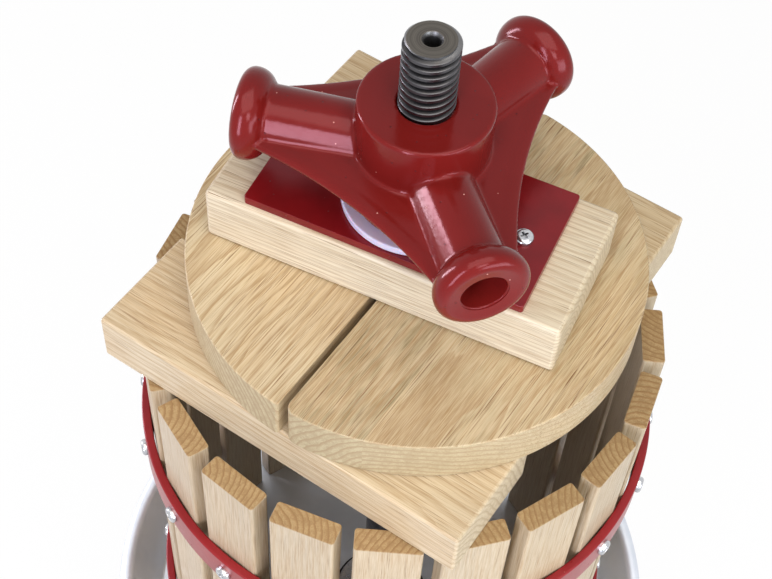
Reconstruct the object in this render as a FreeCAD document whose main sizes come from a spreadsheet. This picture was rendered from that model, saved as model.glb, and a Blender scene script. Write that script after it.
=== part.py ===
"""Basket fruit press: a fixed screw on a three-legged stand, a juice tray, a slatted basket held by two
hoops, two boards and a split disc of wood, a head block, and a three-armed nut that drives them down.

Millimetres, +Z up. The origin is on the screw's axis at floor level, under the feet.
"""
import FreeCAD, Part
import math
import os
import re

import Sketcher

V = FreeCAD.Vector
UP = V(0, 0, 1)

# Driving sizes: alias, value, meaning. Angles are in degrees, all else in millimetres.
SIZES = [
    ("rest_gap", 0.2, "air between pieces that lie on each other and move apart"),
    ("fit_gap", 0.1, "radial air round a bolt, spigot or screw in its own hole"),
    ("cut_margin", 1, "how far a cutter reaches past what it cuts"),
    # Stand
    ("deck_height", 150, "top of the tray's floor above the ground"),
    ("leg_count", 3, "legs round the stand"),
    ("leg_width", 32, "width of the flat bar"),
    ("leg_bar", 6, "thickness of the flat bar"),
    ("leg_start", 25, "inner end of a leg from the axis"),
    ("leg_shoulder", 128, "where a leg bends down, from the axis"),
    ("leg_toe", 158, "where a leg bends out to its foot, from the axis"),
    ("foot_length", 42, "length of the flat foot"),
    ("leg_bend", 5, "inside radius of the bends"),
    ("foot_hole_radius", 4.5, "bolt hole in each foot"),
    ("foot_hole_reach", 23.1, "bolt hole from where the foot starts"),
    ("leg_azimuth", 90, "direction of the first leg"),
    ("hub_plate_radius", 60, "round plate under the legs"),
    ("hub_plate_bar", 6, "its thickness"),
    ("leg_bolt_inner", 34, "inner bolt of a leg from the axis"),
    ("leg_bolt_pitch", 17, "from the inner bolt to the outer one"),
    ("leg_bolt_radius", 3, "shank of the leg bolts"),
    ("leg_bolt_head", 5.6, "radius of the countersunk head"),
    ("leg_bolt_tail", 8, "bolt end below the hub plate"),
    ("leg_nut_width", 10, "across the flats of the leg nuts"),
    ("leg_nut_height", 5, "height of the leg nuts"),
    ("spacer_radius", 22, "spacer ring between tray and hub plate"),
    # Screw
    ("screw_radius", 12, "outside of the screw"),
    ("screw_rise", 501.8, "screw's top above the tray's floor"),
    ("thread_pitch", 4, "one turn lifts the nut by this"),
    ("thread_depth", 2, "depth of the thread"),
    ("thread_turns", 88, "threaded turns from the top down"),
    ("thread_floor", 1.35, "width of the groove at its floor"),
    ("thread_flank", 15, "slope of each flank"),
    ("thread_gap", 0.3, "air between the screw's thread and the nut's"),
    ("screw_chamfer", 1.6, "chamfer at the screw's top"),
    ("centre_hole_radius", 2.9, "lathe centre drilling"),
    ("centre_hole_depth", 11, "its depth"),
    ("centre_cone_radius", 4.5, "mouth of the lathe centre"),
    ("centre_cone_slope", 60, "slope of its mouth"),
    ("spigot_radius", 10, "foot of the screw, through tray and stand"),
    ("spigot_tail", 7, "spigot end below the foot nut"),
    ("spigot_chamfer", 1, "chamfer at the spigot's end"),
    ("foot_washer_radius", 18.5, "washer under the hub plate"),
    ("foot_washer_bar", 3, "its thickness"),
    ("foot_nut_width", 30, "across the flats of the foot nut"),
    ("foot_nut_height", 16, "height of the foot nut"),
    ("clamp_washer_radius", 28, "steel washer on the tray's floor"),
    ("clamp_washer_bar", 3, "its thickness"),
    ("seal_radius", 30, "rubber seal between washer and tray"),
    ("seal_bar", 2, "its thickness"),
    # Tray
    ("tray_sheet", 1.2, "sheet thickness"),
    ("tray_floor_radius", 143, "flat floor of the tray"),
    ("tray_mouth_radius", 157, "inside of the wall at its top"),
    ("tray_depth", 30, "from the floor to the top of the wall"),
    ("rim_curl", 4.6, "outside radius of the rolled rim"),
    ("rim_skirt", 4, "straight edge below the curl"),
    ("spout_width", 34, "outside width of the spout"),
    ("spout_height", 15, "height of the spout's sides above the floor"),
    ("spout_reach", 48, "spout beyond the tray's floor"),
    # Basket
    ("basket_x", -1, "basket's centre from the screw"),
    ("basket_y", -4, "basket's centre from the screw"),
    ("basket_radius", 115, "axis of the basket to the inner face of a slat"),
    ("slat_count", 20, "slats round the basket"),
    ("slat_length", 320, "height of a slat"),
    ("slat_width", 31, "width of a slat"),
    ("slat_thick", 11, "thickness of a slat"),
    ("slat_round", 2.4, "rounding of a slat's long edges"),
    ("hoop_bar", 4.5, "thickness of a hoop"),
    ("hoop_height", 20, "height of a hoop"),
    ("hoop_round", 0.8, "rounding of a hoop's edges"),
    ("hoop_inset", 64, "from a slat's end to the nearer hoop"),
    ("hoop_screw_radius", 2, "shank of a hoop screw"),
    ("hoop_screw_length", 13, "shank under the head"),
    ("hoop_screw_head", 4.2, "radius of the pan head"),
    ("hoop_screw_dome", 2.6, "height of the pan head"),
    # Boards and split disc
    ("board_angle", -30.6, "direction of the boards' length"),
    ("board_length", 194, "length of a board"),
    ("board_width", 59.5, "width of a board"),
    ("board_thick", 28, "thickness of a board"),
    ("board_round", 1.5, "rounding of a board's edges"),
    ("front_board_offset", 74.4, "front board's middle from the screw, across its length"),
    ("front_board_shift", -3.9, "front board's middle along its length"),
    ("back_board_offset", 78.8, "back board's middle from the screw, across its length"),
    ("back_board_shift", -7.9, "back board's middle along its length"),
    ("disc_radius", 106, "outside of the split disc"),
    ("disc_thick", 24, "thickness of the split disc"),
    ("disc_gap", 3.3, "gap between the halves"),
    ("disc_shift", 2.7, "disc's centre from the screw, across the gap"),
    ("disc_bore", 21, "radius of the hole in the middle of the split disc"),
    ("disc_corner", 5, "upright rounding where the gap meets the rim"),
    ("disc_round", 1.0, "rounding of the disc's flat edges"),
    # Head block and plate
    ("block_angle", -21.5, "direction of the block's length"),
    ("block_x", -2, "block's centre from the screw"),
    ("block_length", 169, "length of the head block"),
    ("block_width", 73.5, "width of the head block"),
    ("block_thick", 29.5, "thickness of the head block"),
    ("block_round", 2.5, "rounding of the block's edges"),
    ("block_bore", 15.5, "radius of the hole through block and plate"),
    ("plate_length", 132, "length of the steel plate"),
    ("plate_width", 68.5, "width of the steel plate"),
    ("plate_bar", 4.2, "thickness of the steel plate"),
    ("plate_corner", 2.5, "corner radius of the steel plate"),
    ("plate_screw_pitch", 105, "between the two plate screws"),
    ("plate_screw_radius", 2.2, "shank of a plate screw"),
    ("plate_screw_length", 22, "shank under the head"),
    ("plate_screw_head", 4.4, "radius of the pan head"),
    ("plate_screw_dome", 2.8, "height of the pan head"),
    ("recess_width", 1.0, "width of the cross recess in a pan head"),
    ("recess_depth", 1.5, "depth of the cross recess"),
    ("dome_share", 0.75, "rounding of a pan head's top as a share of its height"),
    ("left_recess_turn", 25, "how far the left plate screw's recess is turned"),
    ("right_recess_turn", 55, "how far the right plate screw's recess is turned"),
    ("washer_radius", 34, "nylon thrust washer"),
    ("washer_thick", 3.8, "its thickness"),
    ("washer_play", 1, "air between the washer's bore and the screw"),
    ("washer_round", 0.8, "rounding of its edges"),
    # Three-armed nut
    ("nut_angle", -69.2, "direction of the first arm"),
    ("nut_height", 56, "height of the hub"),
    ("hub_radius", 29, "outside of the hub"),
    ("hub_round", 1.4, "rounding of the hub's ends"),
    ("arm_count", 3, "arms on the nut"),
    ("arm_level", 28, "arms' axis above the nut's foot"),
    ("arm_radius", 14.5, "outside of an arm"),
    ("arm_reach", 80, "arm's end from the axis"),
    ("lip_radius", 20.2, "outside of the rolled lip at an arm's end"),
    ("lip_bead", 6.4, "radius of the lip's bead"),
    ("lip_dish", 1.2, "how far the end face is sunk at the socket"),
    ("lip_step", 1.5, "step between the neck and the lip's bead"),
    ("socket_radius", 9.7, "socket for a turning bar"),
    ("socket_depth", 40, "depth of a socket"),
    ("web_thick", 10, "web between the arms"),
    ("web_waist", 44, "web's edge from the axis, halfway between arms"),
    ("web_side", 18.5, "web's half width at the lips"),
    ("web_round", 3.2, "rounding of the web's edge"),
    ("cast_round", 3, "fillet where arms and web meet the hub"),
]

# Sizes worked out from those above.
WORKED_OUT = [
    ("tray_under", "deck_height - tray_sheet"),
    ("leg_under", "tray_under - leg_bar"),
    ("hub_plate_under", "leg_under - hub_plate_bar"),
    ("foot_nut_top", "hub_plate_under - foot_washer_bar"),
    ("screw_shoulder", "deck_height + seal_bar + clamp_washer_bar"),
    ("screw_top", "deck_height + screw_rise"),
    ("screw_blank_top", "screw_top + 3 * thread_pitch"),
    ("slat_foot", "deck_height + rest_gap"),
    ("slat_top", "slat_foot + slat_length"),
    ("hoop_screw_drop", "hoop_inset + hoop_height / 2"),
    ("slat_outside", "basket_radius + slat_thick"),
    ("hoop_inside", "sqrt(slat_outside ^ 2 + (slat_width / 2 - slat_round) ^ 2) + fit_gap"),
    ("hoop_outside", "hoop_inside + hoop_bar"),
    ("board_foot", "slat_top + rest_gap"),
    ("disc_foot", "board_foot + board_thick + rest_gap"),
    ("block_foot", "disc_foot + disc_thick + rest_gap"),
    ("plate_foot", "block_foot + block_thick"),
    ("plate_top", "plate_foot + plate_bar"),
    ("washer_foot", "plate_top + rest_gap"),
    ("nut_foot", "washer_foot + washer_thick + rest_gap"),
    ("thread_start", "screw_top - thread_turns * thread_pitch"),
]

doc = FreeCAD.newDocument("fruit_press")
sheet = doc.addObject("Spreadsheet::Sheet", "Sizes")
ALIAS = re.compile(r"\b(" + "|".join(row[0] for row in SIZES + WORKED_OUT) + r")\b")


def fill_sheet():
    """Write every size into the sheet, the worked-out ones as formulas."""
    for row, (alias, value, meaning) in enumerate(SIZES, 1):
        sheet.set(f"A{row}", meaning)
        sheet.set(f"B{row}", str(value))
        sheet.setAlias(f"B{row}", alias)
    for row, (alias, formula) in enumerate(WORKED_OUT, len(SIZES) + 1):
        sheet.set(f"A{row}", alias.replace("_", " "))
        sheet.set(f"B{row}", "=" + formula)
        sheet.setAlias(f"B{row}", alias)
    doc.recompute()


def bound(formula):
    """A formula in plain aliases, as an expression that reads the sheet."""
    return ALIAS.sub(r"Sizes.\1", str(formula))


def size(formula):
    """The value of a formula now."""
    return float(sheet.evalExpression(bound(formula)))


def bind(obj, **formulas):
    """Tie properties of an object to formulas."""
    for name, formula in formulas.items():
        obj.setExpression(name, bound(formula))
    return obj


def place(obj, x=0, y=0, z=0, turn=0):
    """Put an object at x, y, z, turned about Z, all four tied to the sheet."""
    obj.Placement = FreeCAD.Placement(V(size(x), size(y), size(z)), FreeCAD.Rotation(UP, size(turn)))
    for axis, formula in (("x", x), ("y", y), ("z", z)):
        obj.setExpression(f"Placement.Base.{axis}", bound(formula))
    obj.setExpression("Placement.Rotation.Angle", bound(turn))
    return obj


def new_body(label):
    body = doc.addObject("PartDesign::Body", label)
    body.Label = label
    return body


def origin_item(body, role):
    """One of a body's own origin planes or axes."""
    return next(item for item in body.Origin.OriginFeatures if item.Role == role)


def sketch_on(body, plane, name, level=0, lift=0):
    """An empty sketch on one of the body's planes, moved off it by level, its own origin raised by lift."""
    sketch = body.newObject("Sketcher::SketchObject", name)
    sketch.AttachmentSupport = [(origin_item(body, plane), "")]
    sketch.MapMode = "FlatFace"
    sketch.AttachmentOffset = FreeCAD.Placement(V(0, size(lift), size(level)), FreeCAD.Rotation())
    sketch.setExpression("AttachmentOffset.Base.y", bound(lift))
    sketch.setExpression("AttachmentOffset.Base.z", bound(level))
    return sketch


def outline(sketch, points, arcs=()):
    """A closed outline with each corner tied to two formulas.

    arcs maps the number of a side to (radius formula, bulge), where bulge is +1 for an arc that turns
    anticlockwise from its first corner to its second, and -1 for one that turns clockwise.
    """
    arcs = dict(arcs)
    corners = [V(size(x), size(y), 0) for x, y in points]
    for side, start in enumerate(corners):
        end = corners[(side + 1) % len(corners)]
        if side in arcs:
            radius, bulge = size(arcs[side][0]), arcs[side][1]
            half = (end - start) / 2
            rise = math.sqrt(max(radius ** 2 - half.Length ** 2, 0))
            across = V(-half.y, half.x, 0).normalize() * bulge
            centre = start + half + across * rise
            first, last = (start, end) if bulge > 0 else (end, start)
            sketch.addGeometry(Part.ArcOfCircle(
                Part.Circle(centre, UP, radius), heading(first - centre), heading(last - centre)))
        else:
            sketch.addGeometry(Part.LineSegment(start, end))
    for side in range(len(corners)):
        following = (side + 1) % len(corners)
        ends = (end_of(arcs, side), start_of(arcs, following))
        sketch.addConstraint(Sketcher.Constraint("Coincident", side, ends[0], following, ends[1]))
        for kind, formula in zip(("DistanceX", "DistanceY"), points[side]):
            at = start_of(arcs, side)
            tie(sketch, Sketcher.Constraint(kind, -1, 1, side, at, size(formula)), formula)
    for side, (radius, _) in arcs.items():
        tie(sketch, Sketcher.Constraint("Radius", side, size(radius)), radius)
    return sketch


def heading(vector):
    return math.atan2(vector.y, vector.x)


def start_of(arcs, side):
    """Which end of a side its outline starts from. An arc's own start is where it turns left from."""
    return 2 if side in arcs and arcs[side][1] < 0 else 1


def end_of(arcs, side):
    return 1 if side in arcs and arcs[side][1] < 0 else 2


def tie(sketch, constraint, formula):
    """Add a constraint and tie its value to a formula."""
    number = sketch.addConstraint(constraint)
    sketch.setExpression(f"Constraints[{number}]", bound(formula))


def rectangle(sketch, length, width, x="0"):
    """A rectangle about (x, 0)."""
    left, right = f"{x} - ({length}) / 2", f"{x} + ({length}) / 2"
    low, high = f"-({width}) / 2", f"({width}) / 2"
    return outline(sketch, [(left, low), (right, low), (right, high), (left, high)])


def circle(sketch, radius, x="0", y="0"):
    """A circle whose centre is tied to x and y."""
    number = sketch.addGeometry(Part.Circle(V(size(x), size(y), 0), UP, size(radius)))
    tie(sketch, Sketcher.Constraint("DistanceX", -1, 1, number, 3, size(x)), x)
    tie(sketch, Sketcher.Constraint("DistanceY", -1, 1, number, 3, size(y)), y)
    tie(sketch, Sketcher.Constraint("Radius", number, size(radius)), radius)
    return sketch


def pad(body, sketch, length, midplane=False):
    feature = body.newObject("PartDesign::Pad", "Pad")
    feature.Profile = sketch
    feature.Midplane = midplane
    return bind(feature, Length=length)


def pocket(body, sketch, depth=None, midplane=False):
    """Cut a sketch through all, or to a depth against the sketch's normal. An empty cut is an error."""
    doc.recompute()
    before = body.Shape.Volume
    feature = body.newObject("PartDesign::Pocket", "Pocket")
    feature.Profile = sketch
    feature.Midplane = midplane
    if depth is None:
        feature.Type = "ThroughAll"
    else:
        bind(feature, Length=depth)
    doc.recompute()
    if body.Shape.Volume > before - 1e-3:
        raise RuntimeError(f"the pocket in {body.Label} cuts nothing")
    return feature


def lathe(body, sketch):
    """Turn a sketch on the XZ plane about the body's Z axis."""
    feature = body.newObject("PartDesign::Revolution", "Revolution")
    feature.Profile = sketch
    feature.ReferenceAxis = (origin_item(body, "Z_Axis"), [""])
    feature.Angle = 360
    return feature


def polar(body, features, count):
    """Repeat features about the body's Z axis."""
    doc.recompute()
    pattern = body.newObject("PartDesign::PolarPattern", "PolarPattern")
    pattern.Originals = features
    pattern.Axis = (origin_item(body, "Z_Axis"), [""])
    pattern.Angle = 360
    bind(pattern, Occurrences=count)
    body.Tip = pattern
    return pattern


def round_edges(body, radius, keep):
    """Fillet the edges for which keep(edge) is true."""
    doc.recompute()
    names = [f"Edge{n}" for n, edge in enumerate(body.Shape.Edges, 1) if keep(edge)]
    if not names:
        raise RuntimeError(f"no edge to round on {body.Label}")
    base = body.Tip
    feature = body.newObject("PartDesign::Fillet", "Fillet")
    feature.Base = (base, names)
    body.Tip = feature
    return bind(feature, Radius=radius)


def is_upright(edge):
    box = edge.BoundBox
    return box.ZLength > 1 and box.XLength + box.YLength < 1e-4


def lies_flat(edge):
    return edge.BoundBox.ZLength < 1e-4


def on_level(edge, *levels):
    """Does a flat edge lie at one of these heights in its body?"""
    return lies_flat(edge) and any(abs(edge.BoundBox.ZMin - size(level)) < 1e-3 for level in levels)


def furthest(edge):
    """The largest distance of an edge's ends and middle from the Z axis."""
    first, last = edge.ParameterRange
    points = [edge.valueAt(first + share * (last - first)) for share in (0, 0.5, 1)]
    return max(math.hypot(point.x, point.y) for point in points)


def ring(label, inner, outer, foot, height, rounding=None):
    """A flat ring about the screw's axis."""
    body = new_body(label)
    sketch = sketch_on(body, "XY_Plane", "Section", foot)
    circle(circle(sketch, outer), inner)
    pad(body, sketch, height)
    if rounding:
        round_edges(body, rounding, lambda edge: on_level(edge, foot, f"{foot} + {height}"))
    return body


def hexagon(sketch, across):
    """A regular hexagon about the origin, flats along X."""
    corner = f"({across}) / sqrt(3)"
    turns = [(f"{corner} * cos({60 * n} deg)", f"{corner} * sin({60 * n} deg)") for n in range(6)]
    return outline(sketch, turns)


def around(label, shape, count, first=0):
    """Copies of a shape about the Z axis, as one group of separate solids."""
    step = 360 / count
    copies = []
    for number in range(count):
        copy = shape.copy()
        copy.rotate(V(), UP, first + number * step)
        copies.append(copy)
    return group(label, copies)


def group(label, shapes):
    feature = doc.addObject("Part::Feature", label)
    feature.Label = label
    feature.Shape = Part.Compound([solid for shape in shapes for solid in shape.Solids])
    return feature


def pan_head_screw(shank, length, head, dome):
    """A screw along +Z with its head's seat at the origin, shank down, and a cross recess in the head."""
    top = Part.makeCylinder(head, dome)
    rims = [edge for edge in top.Edges if edge.BoundBox.ZLength < 1e-6 and edge.BoundBox.ZMin > dome / 2]
    top = top.makeFillet(dome * size("dome_share"), rims)
    core = Part.makeCylinder(shank, length - shank, V(0, 0, -length + shank))
    point = Part.makeCone(0, shank, shank, V(0, 0, -length))
    screw = top.fuse([core, point]).removeSplitter()
    width, depth = size("recess_width"), size("recess_depth")
    for along, across in ((head, width), (width, head)):
        slot = Part.makeBox(along, across, depth, V(-along / 2, -across / 2, dome - depth))
        screw = screw.cut(slot)
    return screw


def helical_tool(pitch, turns, level, inner, outer, inner_width, outer_width):
    """A trapezoid swept up a helix about the Z axis, from a spine of short helices.

    A cut with it is only sound if its ends stay inside the solid wherever its outside shows.
    """
    spines = []
    done = 0
    while done < turns:
        stretch = min(10, turns - done)
        spine = Part.makeHelix(pitch, pitch * stretch, inner)
        spine.translate(V(0, 0, level + done * pitch))
        spines += spine.Edges
        done += stretch
    section = Part.makePolygon([
        V(inner, 0, level - inner_width / 2),
        V(outer, 0, level - outer_width / 2),
        V(outer, 0, level + outer_width / 2),
        V(inner, 0, level + inner_width / 2),
        V(inner, 0, level - inner_width / 2),
    ])
    sweep = Part.BRepOffsetAPI.MakePipeShell(Part.Wire(spines))
    sweep.setBiNormalMode(UP)
    sweep.add(section)
    sweep.build()
    sweep.makeSolid()
    return sweep.shape()


def cut_away(label, blank, *cutters):
    """What is left when cutters are taken from a blank, in this order. Each is a body or a plain shape."""
    doc.recompute()
    items = (blank, *cutters)
    shape, *tools = [item if isinstance(item, Part.Shape) else item.Shape.copy() for item in items]
    for tool in tools:
        before = shape.Volume
        shape = shape.cut(tool)
        if shape.Volume > before - 1e-3:
            raise RuntimeError(f"a cutter of {label} cuts nothing")
    feature = doc.addObject("Part::Feature", label)
    feature.Label = label
    feature.Shape = shape
    return feature


def make_hub_plate():
    """Round plate under the legs, with the spigot's hole and the leg bolts' holes."""
    body = ring("hub_plate", "spigot_radius + fit_gap", "hub_plate_radius",
                "hub_plate_under", "hub_plate_bar")
    sketch = sketch_on(body, "XY_Plane", "Bolts", "leg_under")
    for reach in ("leg_bolt_inner", "leg_bolt_inner + leg_bolt_pitch"):
        circle(sketch, "leg_bolt_radius + fit_gap", reach)
    holes = pocket(body, sketch, "hub_plate_bar")
    polar(body, [holes], "leg_count")
    place(body, turn="leg_azimuth")
    return body


def make_leg(number):
    """A bent flat bar: level under the tray, sloping down, and level again as a foot."""
    body = new_body(f"leg_{number}")
    side = sketch_on(body, "XZ_Plane", "Side")
    slope = "atan((tray_under - leg_bar) / (leg_toe - leg_shoulder))"
    back = f"leg_bar * tan(({slope}) / 2)"
    foot_end = "leg_toe + foot_length"
    outline(side, [
        ("leg_start", "leg_under"),
        (f"leg_shoulder - {back}", "leg_under"),
        (f"leg_toe - {back}", "0"),
        (foot_end, "0"),
        (foot_end, "leg_bar"),
        ("leg_toe", "leg_bar"),
        ("leg_shoulder", "tray_under"),
        ("leg_start", "tray_under"),
    ])
    pad(body, side, "leg_width", midplane=True)
    doc.recompute()
    inner = [(size(f"leg_shoulder - {back}"), size("leg_under")), (size("leg_toe"), size("leg_bar"))]
    outer = [(size("leg_shoulder"), size("tray_under")), (size(f"leg_toe - {back}"), 0)]

    def runs_across(edge, corners):
        box = edge.BoundBox
        level = box.XLength + box.ZLength < 1e-4
        return level and any(math.hypot(box.XMin - x, box.ZMin - z) < 1e-3 for x, z in corners)

    round_edges(body, "leg_bend", lambda edge: runs_across(edge, inner))
    round_edges(body, "leg_bend + leg_bar", lambda edge: runs_across(edge, outer))
    feet = sketch_on(body, "XY_Plane", "Foot_hole", "leg_bar")
    circle(feet, "foot_hole_radius", "leg_toe + foot_hole_reach")
    pocket(body, feet, "leg_bar")
    bolts = sketch_on(body, "XY_Plane", "Bolt_holes", "tray_under")
    for reach in ("leg_bolt_inner", "leg_bolt_inner + leg_bolt_pitch"):
        circle(bolts, "leg_bolt_radius + fit_gap", reach)
    pocket(body, bolts, "leg_bar")
    sinks = sketch_on(body, "XY_Plane", "Countersinks", "tray_under")
    for reach in ("leg_bolt_inner", "leg_bolt_inner + leg_bolt_pitch"):
        circle(sinks, "leg_bolt_head + fit_gap", reach)
    sink = pocket(body, sinks, "leg_bolt_head - leg_bolt_radius")
    sink.TaperAngle = -45
    place(body, turn=f"leg_azimuth + {number - 1} * 360 / leg_count")
    return body


def make_leg_bolts():
    """Countersunk bolts, two to a leg, flush with the top of the leg."""
    head, shank = size("leg_bolt_head"), size("leg_bolt_radius")
    top = size("tray_under")
    under = size("hub_plate_under - leg_bolt_tail")
    cone = Part.makeCone(shank, head, head - shank, V(0, 0, top - head + shank))
    rod = Part.makeCylinder(shank, top - head + shank - under, V(0, 0, under))
    bolt = cone.fuse(rod)
    bolts = []
    for reach in ("leg_bolt_inner", "leg_bolt_inner + leg_bolt_pitch"):
        copy = bolt.copy()
        copy.translate(V(size(reach), 0, 0))
        bolts.append(copy)
    return around("leg_bolts", Part.Compound(bolts), int(size("leg_count")), size("leg_azimuth"))


def hex_nut(label, across, height, bore, top):
    """A plain hexagon nut about the Z axis, below a level."""
    body = new_body(label)
    sketch = sketch_on(body, "XY_Plane", "Hexagon", f"{top} - {height}")
    hexagon(sketch, across)
    circle(sketch, bore)
    pad(body, sketch, height)
    return body


def make_leg_nuts():
    """One nut below the hub plate for each leg bolt."""
    pattern = hex_nut("leg_nut_pattern", "leg_nut_width", "leg_nut_height",
                      "leg_bolt_radius + fit_gap / 2", "hub_plate_under")
    doc.recompute()
    nuts = []
    for reach in ("leg_bolt_inner", "leg_bolt_inner + leg_bolt_pitch"):
        copy = pattern.Shape.copy()
        copy.translate(V(size(reach), 0, 0))
        nuts.append(copy)
    return around("leg_nuts", Part.Compound(nuts), int(size("leg_count")), size("leg_azimuth"))


def make_screw():
    """The fixed screw: spigot, shoulder, threaded shaft, chamfered top with a lathe centre."""
    shoulder, tail = size("screw_shoulder"), size("foot_nut_top - foot_nut_height - spigot_tail")
    radius, foot_radius, chamfer = size("screw_radius"), size("spigot_radius"), size("spigot_chamfer")
    shaft = Part.makeCylinder(radius, size("screw_blank_top") - shoulder, V(0, 0, shoulder))
    spigot = Part.makeCylinder(foot_radius, shoulder - tail - chamfer, V(0, 0, tail + chamfer))
    point = Part.makeCone(foot_radius - chamfer, foot_radius, chamfer, V(0, 0, tail))
    blank = shaft.fuse([spigot, point])
    past = size("thread_gap")
    floor, spread = size("thread_floor"), math.tan(math.radians(size("thread_flank")))
    tool = helical_tool(
        size("thread_pitch"), size("thread_turns") + 1, size("thread_start"),
        size("screw_radius - thread_depth"), size("screw_radius") + past,
        floor, floor + 2 * spread * (size("thread_depth") + past))
    return cut_away("press_screw", blank, tool, screw_end())


def screw_end():
    """What is turned off the screw's top: the overlength, the chamfer and the lathe centre."""
    body = new_body("screw_end_cutter")
    side = sketch_on(body, "XZ_Plane", "Half_section")
    cone_depth = "(centre_cone_radius - centre_hole_radius) * tan(centre_cone_slope * 1 deg)"
    outline(side, [
        ("0", "screw_top - centre_hole_depth - centre_hole_radius / 2"),
        ("centre_hole_radius", "screw_top - centre_hole_depth"),
        ("centre_hole_radius", f"screw_top - {cone_depth}"),
        ("centre_cone_radius", "screw_top"),
        ("screw_radius - screw_chamfer", "screw_top"),
        ("screw_radius + screw_chamfer", "screw_top - 2 * screw_chamfer"),
        ("screw_radius + screw_chamfer", "screw_blank_top + cut_margin"),
        ("0", "screw_blank_top + cut_margin"),
    ])
    lathe(body, side)
    return body


def make_tray():
    """Sheet tray: flat floor, sloping wall, rolled rim, and a slot in the wall for the spout."""
    body = new_body("tray_shell")
    side = sketch_on(body, "XZ_Plane", "Half_section")
    top = "deck_height + tray_depth"
    inside, outside = ("rim_curl - tray_sheet", -1), ("rim_curl", 1)
    outline(side, [
        ("spigot_radius + fit_gap", "tray_under"),
        ("tray_floor_radius + tray_sheet", "tray_under"),
        ("tray_mouth_radius + tray_sheet", top),
        ("tray_mouth_radius + rim_curl", f"{top} + rim_curl - tray_sheet"),
        ("tray_mouth_radius + 2 * rim_curl - tray_sheet", top),
        ("tray_mouth_radius + 2 * rim_curl - tray_sheet", f"{top} - rim_skirt"),
        ("tray_mouth_radius + 2 * rim_curl", f"{top} - rim_skirt"),
        ("tray_mouth_radius + 2 * rim_curl", top),
        ("tray_mouth_radius + rim_curl", f"{top} + rim_curl"),
        ("tray_mouth_radius", top),
        ("tray_floor_radius", "deck_height"),
        ("spigot_radius + fit_gap", "deck_height"),
    ], {2: inside, 3: inside, 7: outside, 8: outside})
    lathe(body, side)
    slot = sketch_on(body, "XZ_Plane", "Spout_slot")
    inner = "spout_width / 2 - tray_sheet"
    outline(slot, [(f"-({inner})", "deck_height"), (inner, "deck_height"),
                   (inner, "deck_height + spout_height - tray_sheet"),
                   (f"-({inner})", "deck_height + spout_height - tray_sheet")])
    return slot_to_front(body, slot)


def slot_to_front(body, sketch):
    """Cut the tray's wall on its front side, which is -Y. The sketch's plane faces that way."""
    doc.recompute()
    before = body.Shape.Volume
    feature = body.newObject("PartDesign::Pocket", "Pocket")
    feature.Profile = sketch
    feature.Type = "ThroughAll"
    feature.Reversed = True
    doc.recompute()
    if body.Shape.Volume > before - 1e-3:
        raise RuntimeError("the spout's slot cuts nothing")
    in_slot = V(0, -size("tray_floor_radius + tray_sheet"), size("deck_height + spout_height / 2"))
    if body.Shape.distToShape(Part.Vertex(in_slot))[0] < 1e-3:
        raise RuntimeError("the spout's slot is on the wrong side")
    body.Label = "tray"
    return body


def make_spout():
    """An open channel welded to the outside of the tray's wall, sloping with it."""
    channel = new_body("spout_channel")
    side = sketch_on(channel, "XZ_Plane", "Section")
    half = "spout_width / 2"
    outline(side, [
        (f"-{half}", "tray_under"),
        (half, "tray_under"),
        (half, "deck_height + spout_height"),
        (f"{half} - tray_sheet", "deck_height + spout_height"),
        (f"{half} - tray_sheet", "deck_height"),
        (f"-{half} + tray_sheet", "deck_height"),
        (f"-{half} + tray_sheet", "deck_height + spout_height"),
        (f"-{half}", "deck_height + spout_height"),
    ])
    pad(channel, side, "tray_floor_radius + spout_reach")
    mould = new_body("tray_outside")
    half_section = sketch_on(mould, "XZ_Plane", "Half_section")
    skin = "tray_sheet + fit_gap / 2"
    outline(half_section, [
        ("0", "tray_under - cut_margin"),
        (f"tray_floor_radius + {skin}", "tray_under - cut_margin"),
        (f"tray_floor_radius + {skin}", "tray_under"),
        (f"tray_mouth_radius + {skin}", "deck_height + tray_depth"),
        ("0", "deck_height + tray_depth"),
    ])
    lathe(mould, half_section)
    return cut_away("spout", channel, mould)


def in_basket(body, turn=0, z="slat_foot"):
    """Stand a piece in the basket, whose axis lies beside the screw's."""
    return place(body, "basket_x", "basket_y", z, turn)


def make_slat(number):
    """An upright slat with rounded long edges and a pilot hole behind each hoop screw."""
    body = new_body(f"slat_{number:02d}")
    section = sketch_on(body, "XY_Plane", "Section")
    rectangle(section, "slat_thick", "slat_width", "slat_outside - slat_thick / 2")
    pad(body, section, "slat_length")
    round_edges(body, "slat_round", is_upright)
    holes = sketch_on(body, "YZ_Plane", "Pilot_holes", "slat_outside")
    for level in ("hoop_screw_drop", "slat_length - hoop_screw_drop"):
        circle(holes, "hoop_screw_radius + fit_gap", "0", level)
    pocket(body, holes, "hoop_screw_length - hoop_bar + fit_gap")
    return in_basket(body, f"{number - 1} * 360 / slat_count")


def make_hoop(label, foot):
    """A closed flat hoop round the slats, with a hole for each slat's screw."""
    body = new_body(label)
    side = sketch_on(body, "XZ_Plane", "Section")
    outline(side, [("hoop_inside", foot), ("hoop_outside", foot),
                   ("hoop_outside", f"{foot} + hoop_height"), ("hoop_inside", f"{foot} + hoop_height")])
    lathe(body, side)
    round_edges(body, "hoop_round", lambda edge: on_level(edge, foot, f"{foot} + hoop_height"))
    hole = sketch_on(body, "YZ_Plane", "Screw_hole", "hoop_outside + cut_margin")
    circle(hole, "hoop_screw_radius + fit_gap", "0", f"{foot} + hoop_height / 2")
    polar(body, [pocket(body, hole, "hoop_bar + 2 * cut_margin")], "slat_count")
    return in_basket(body)


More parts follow.
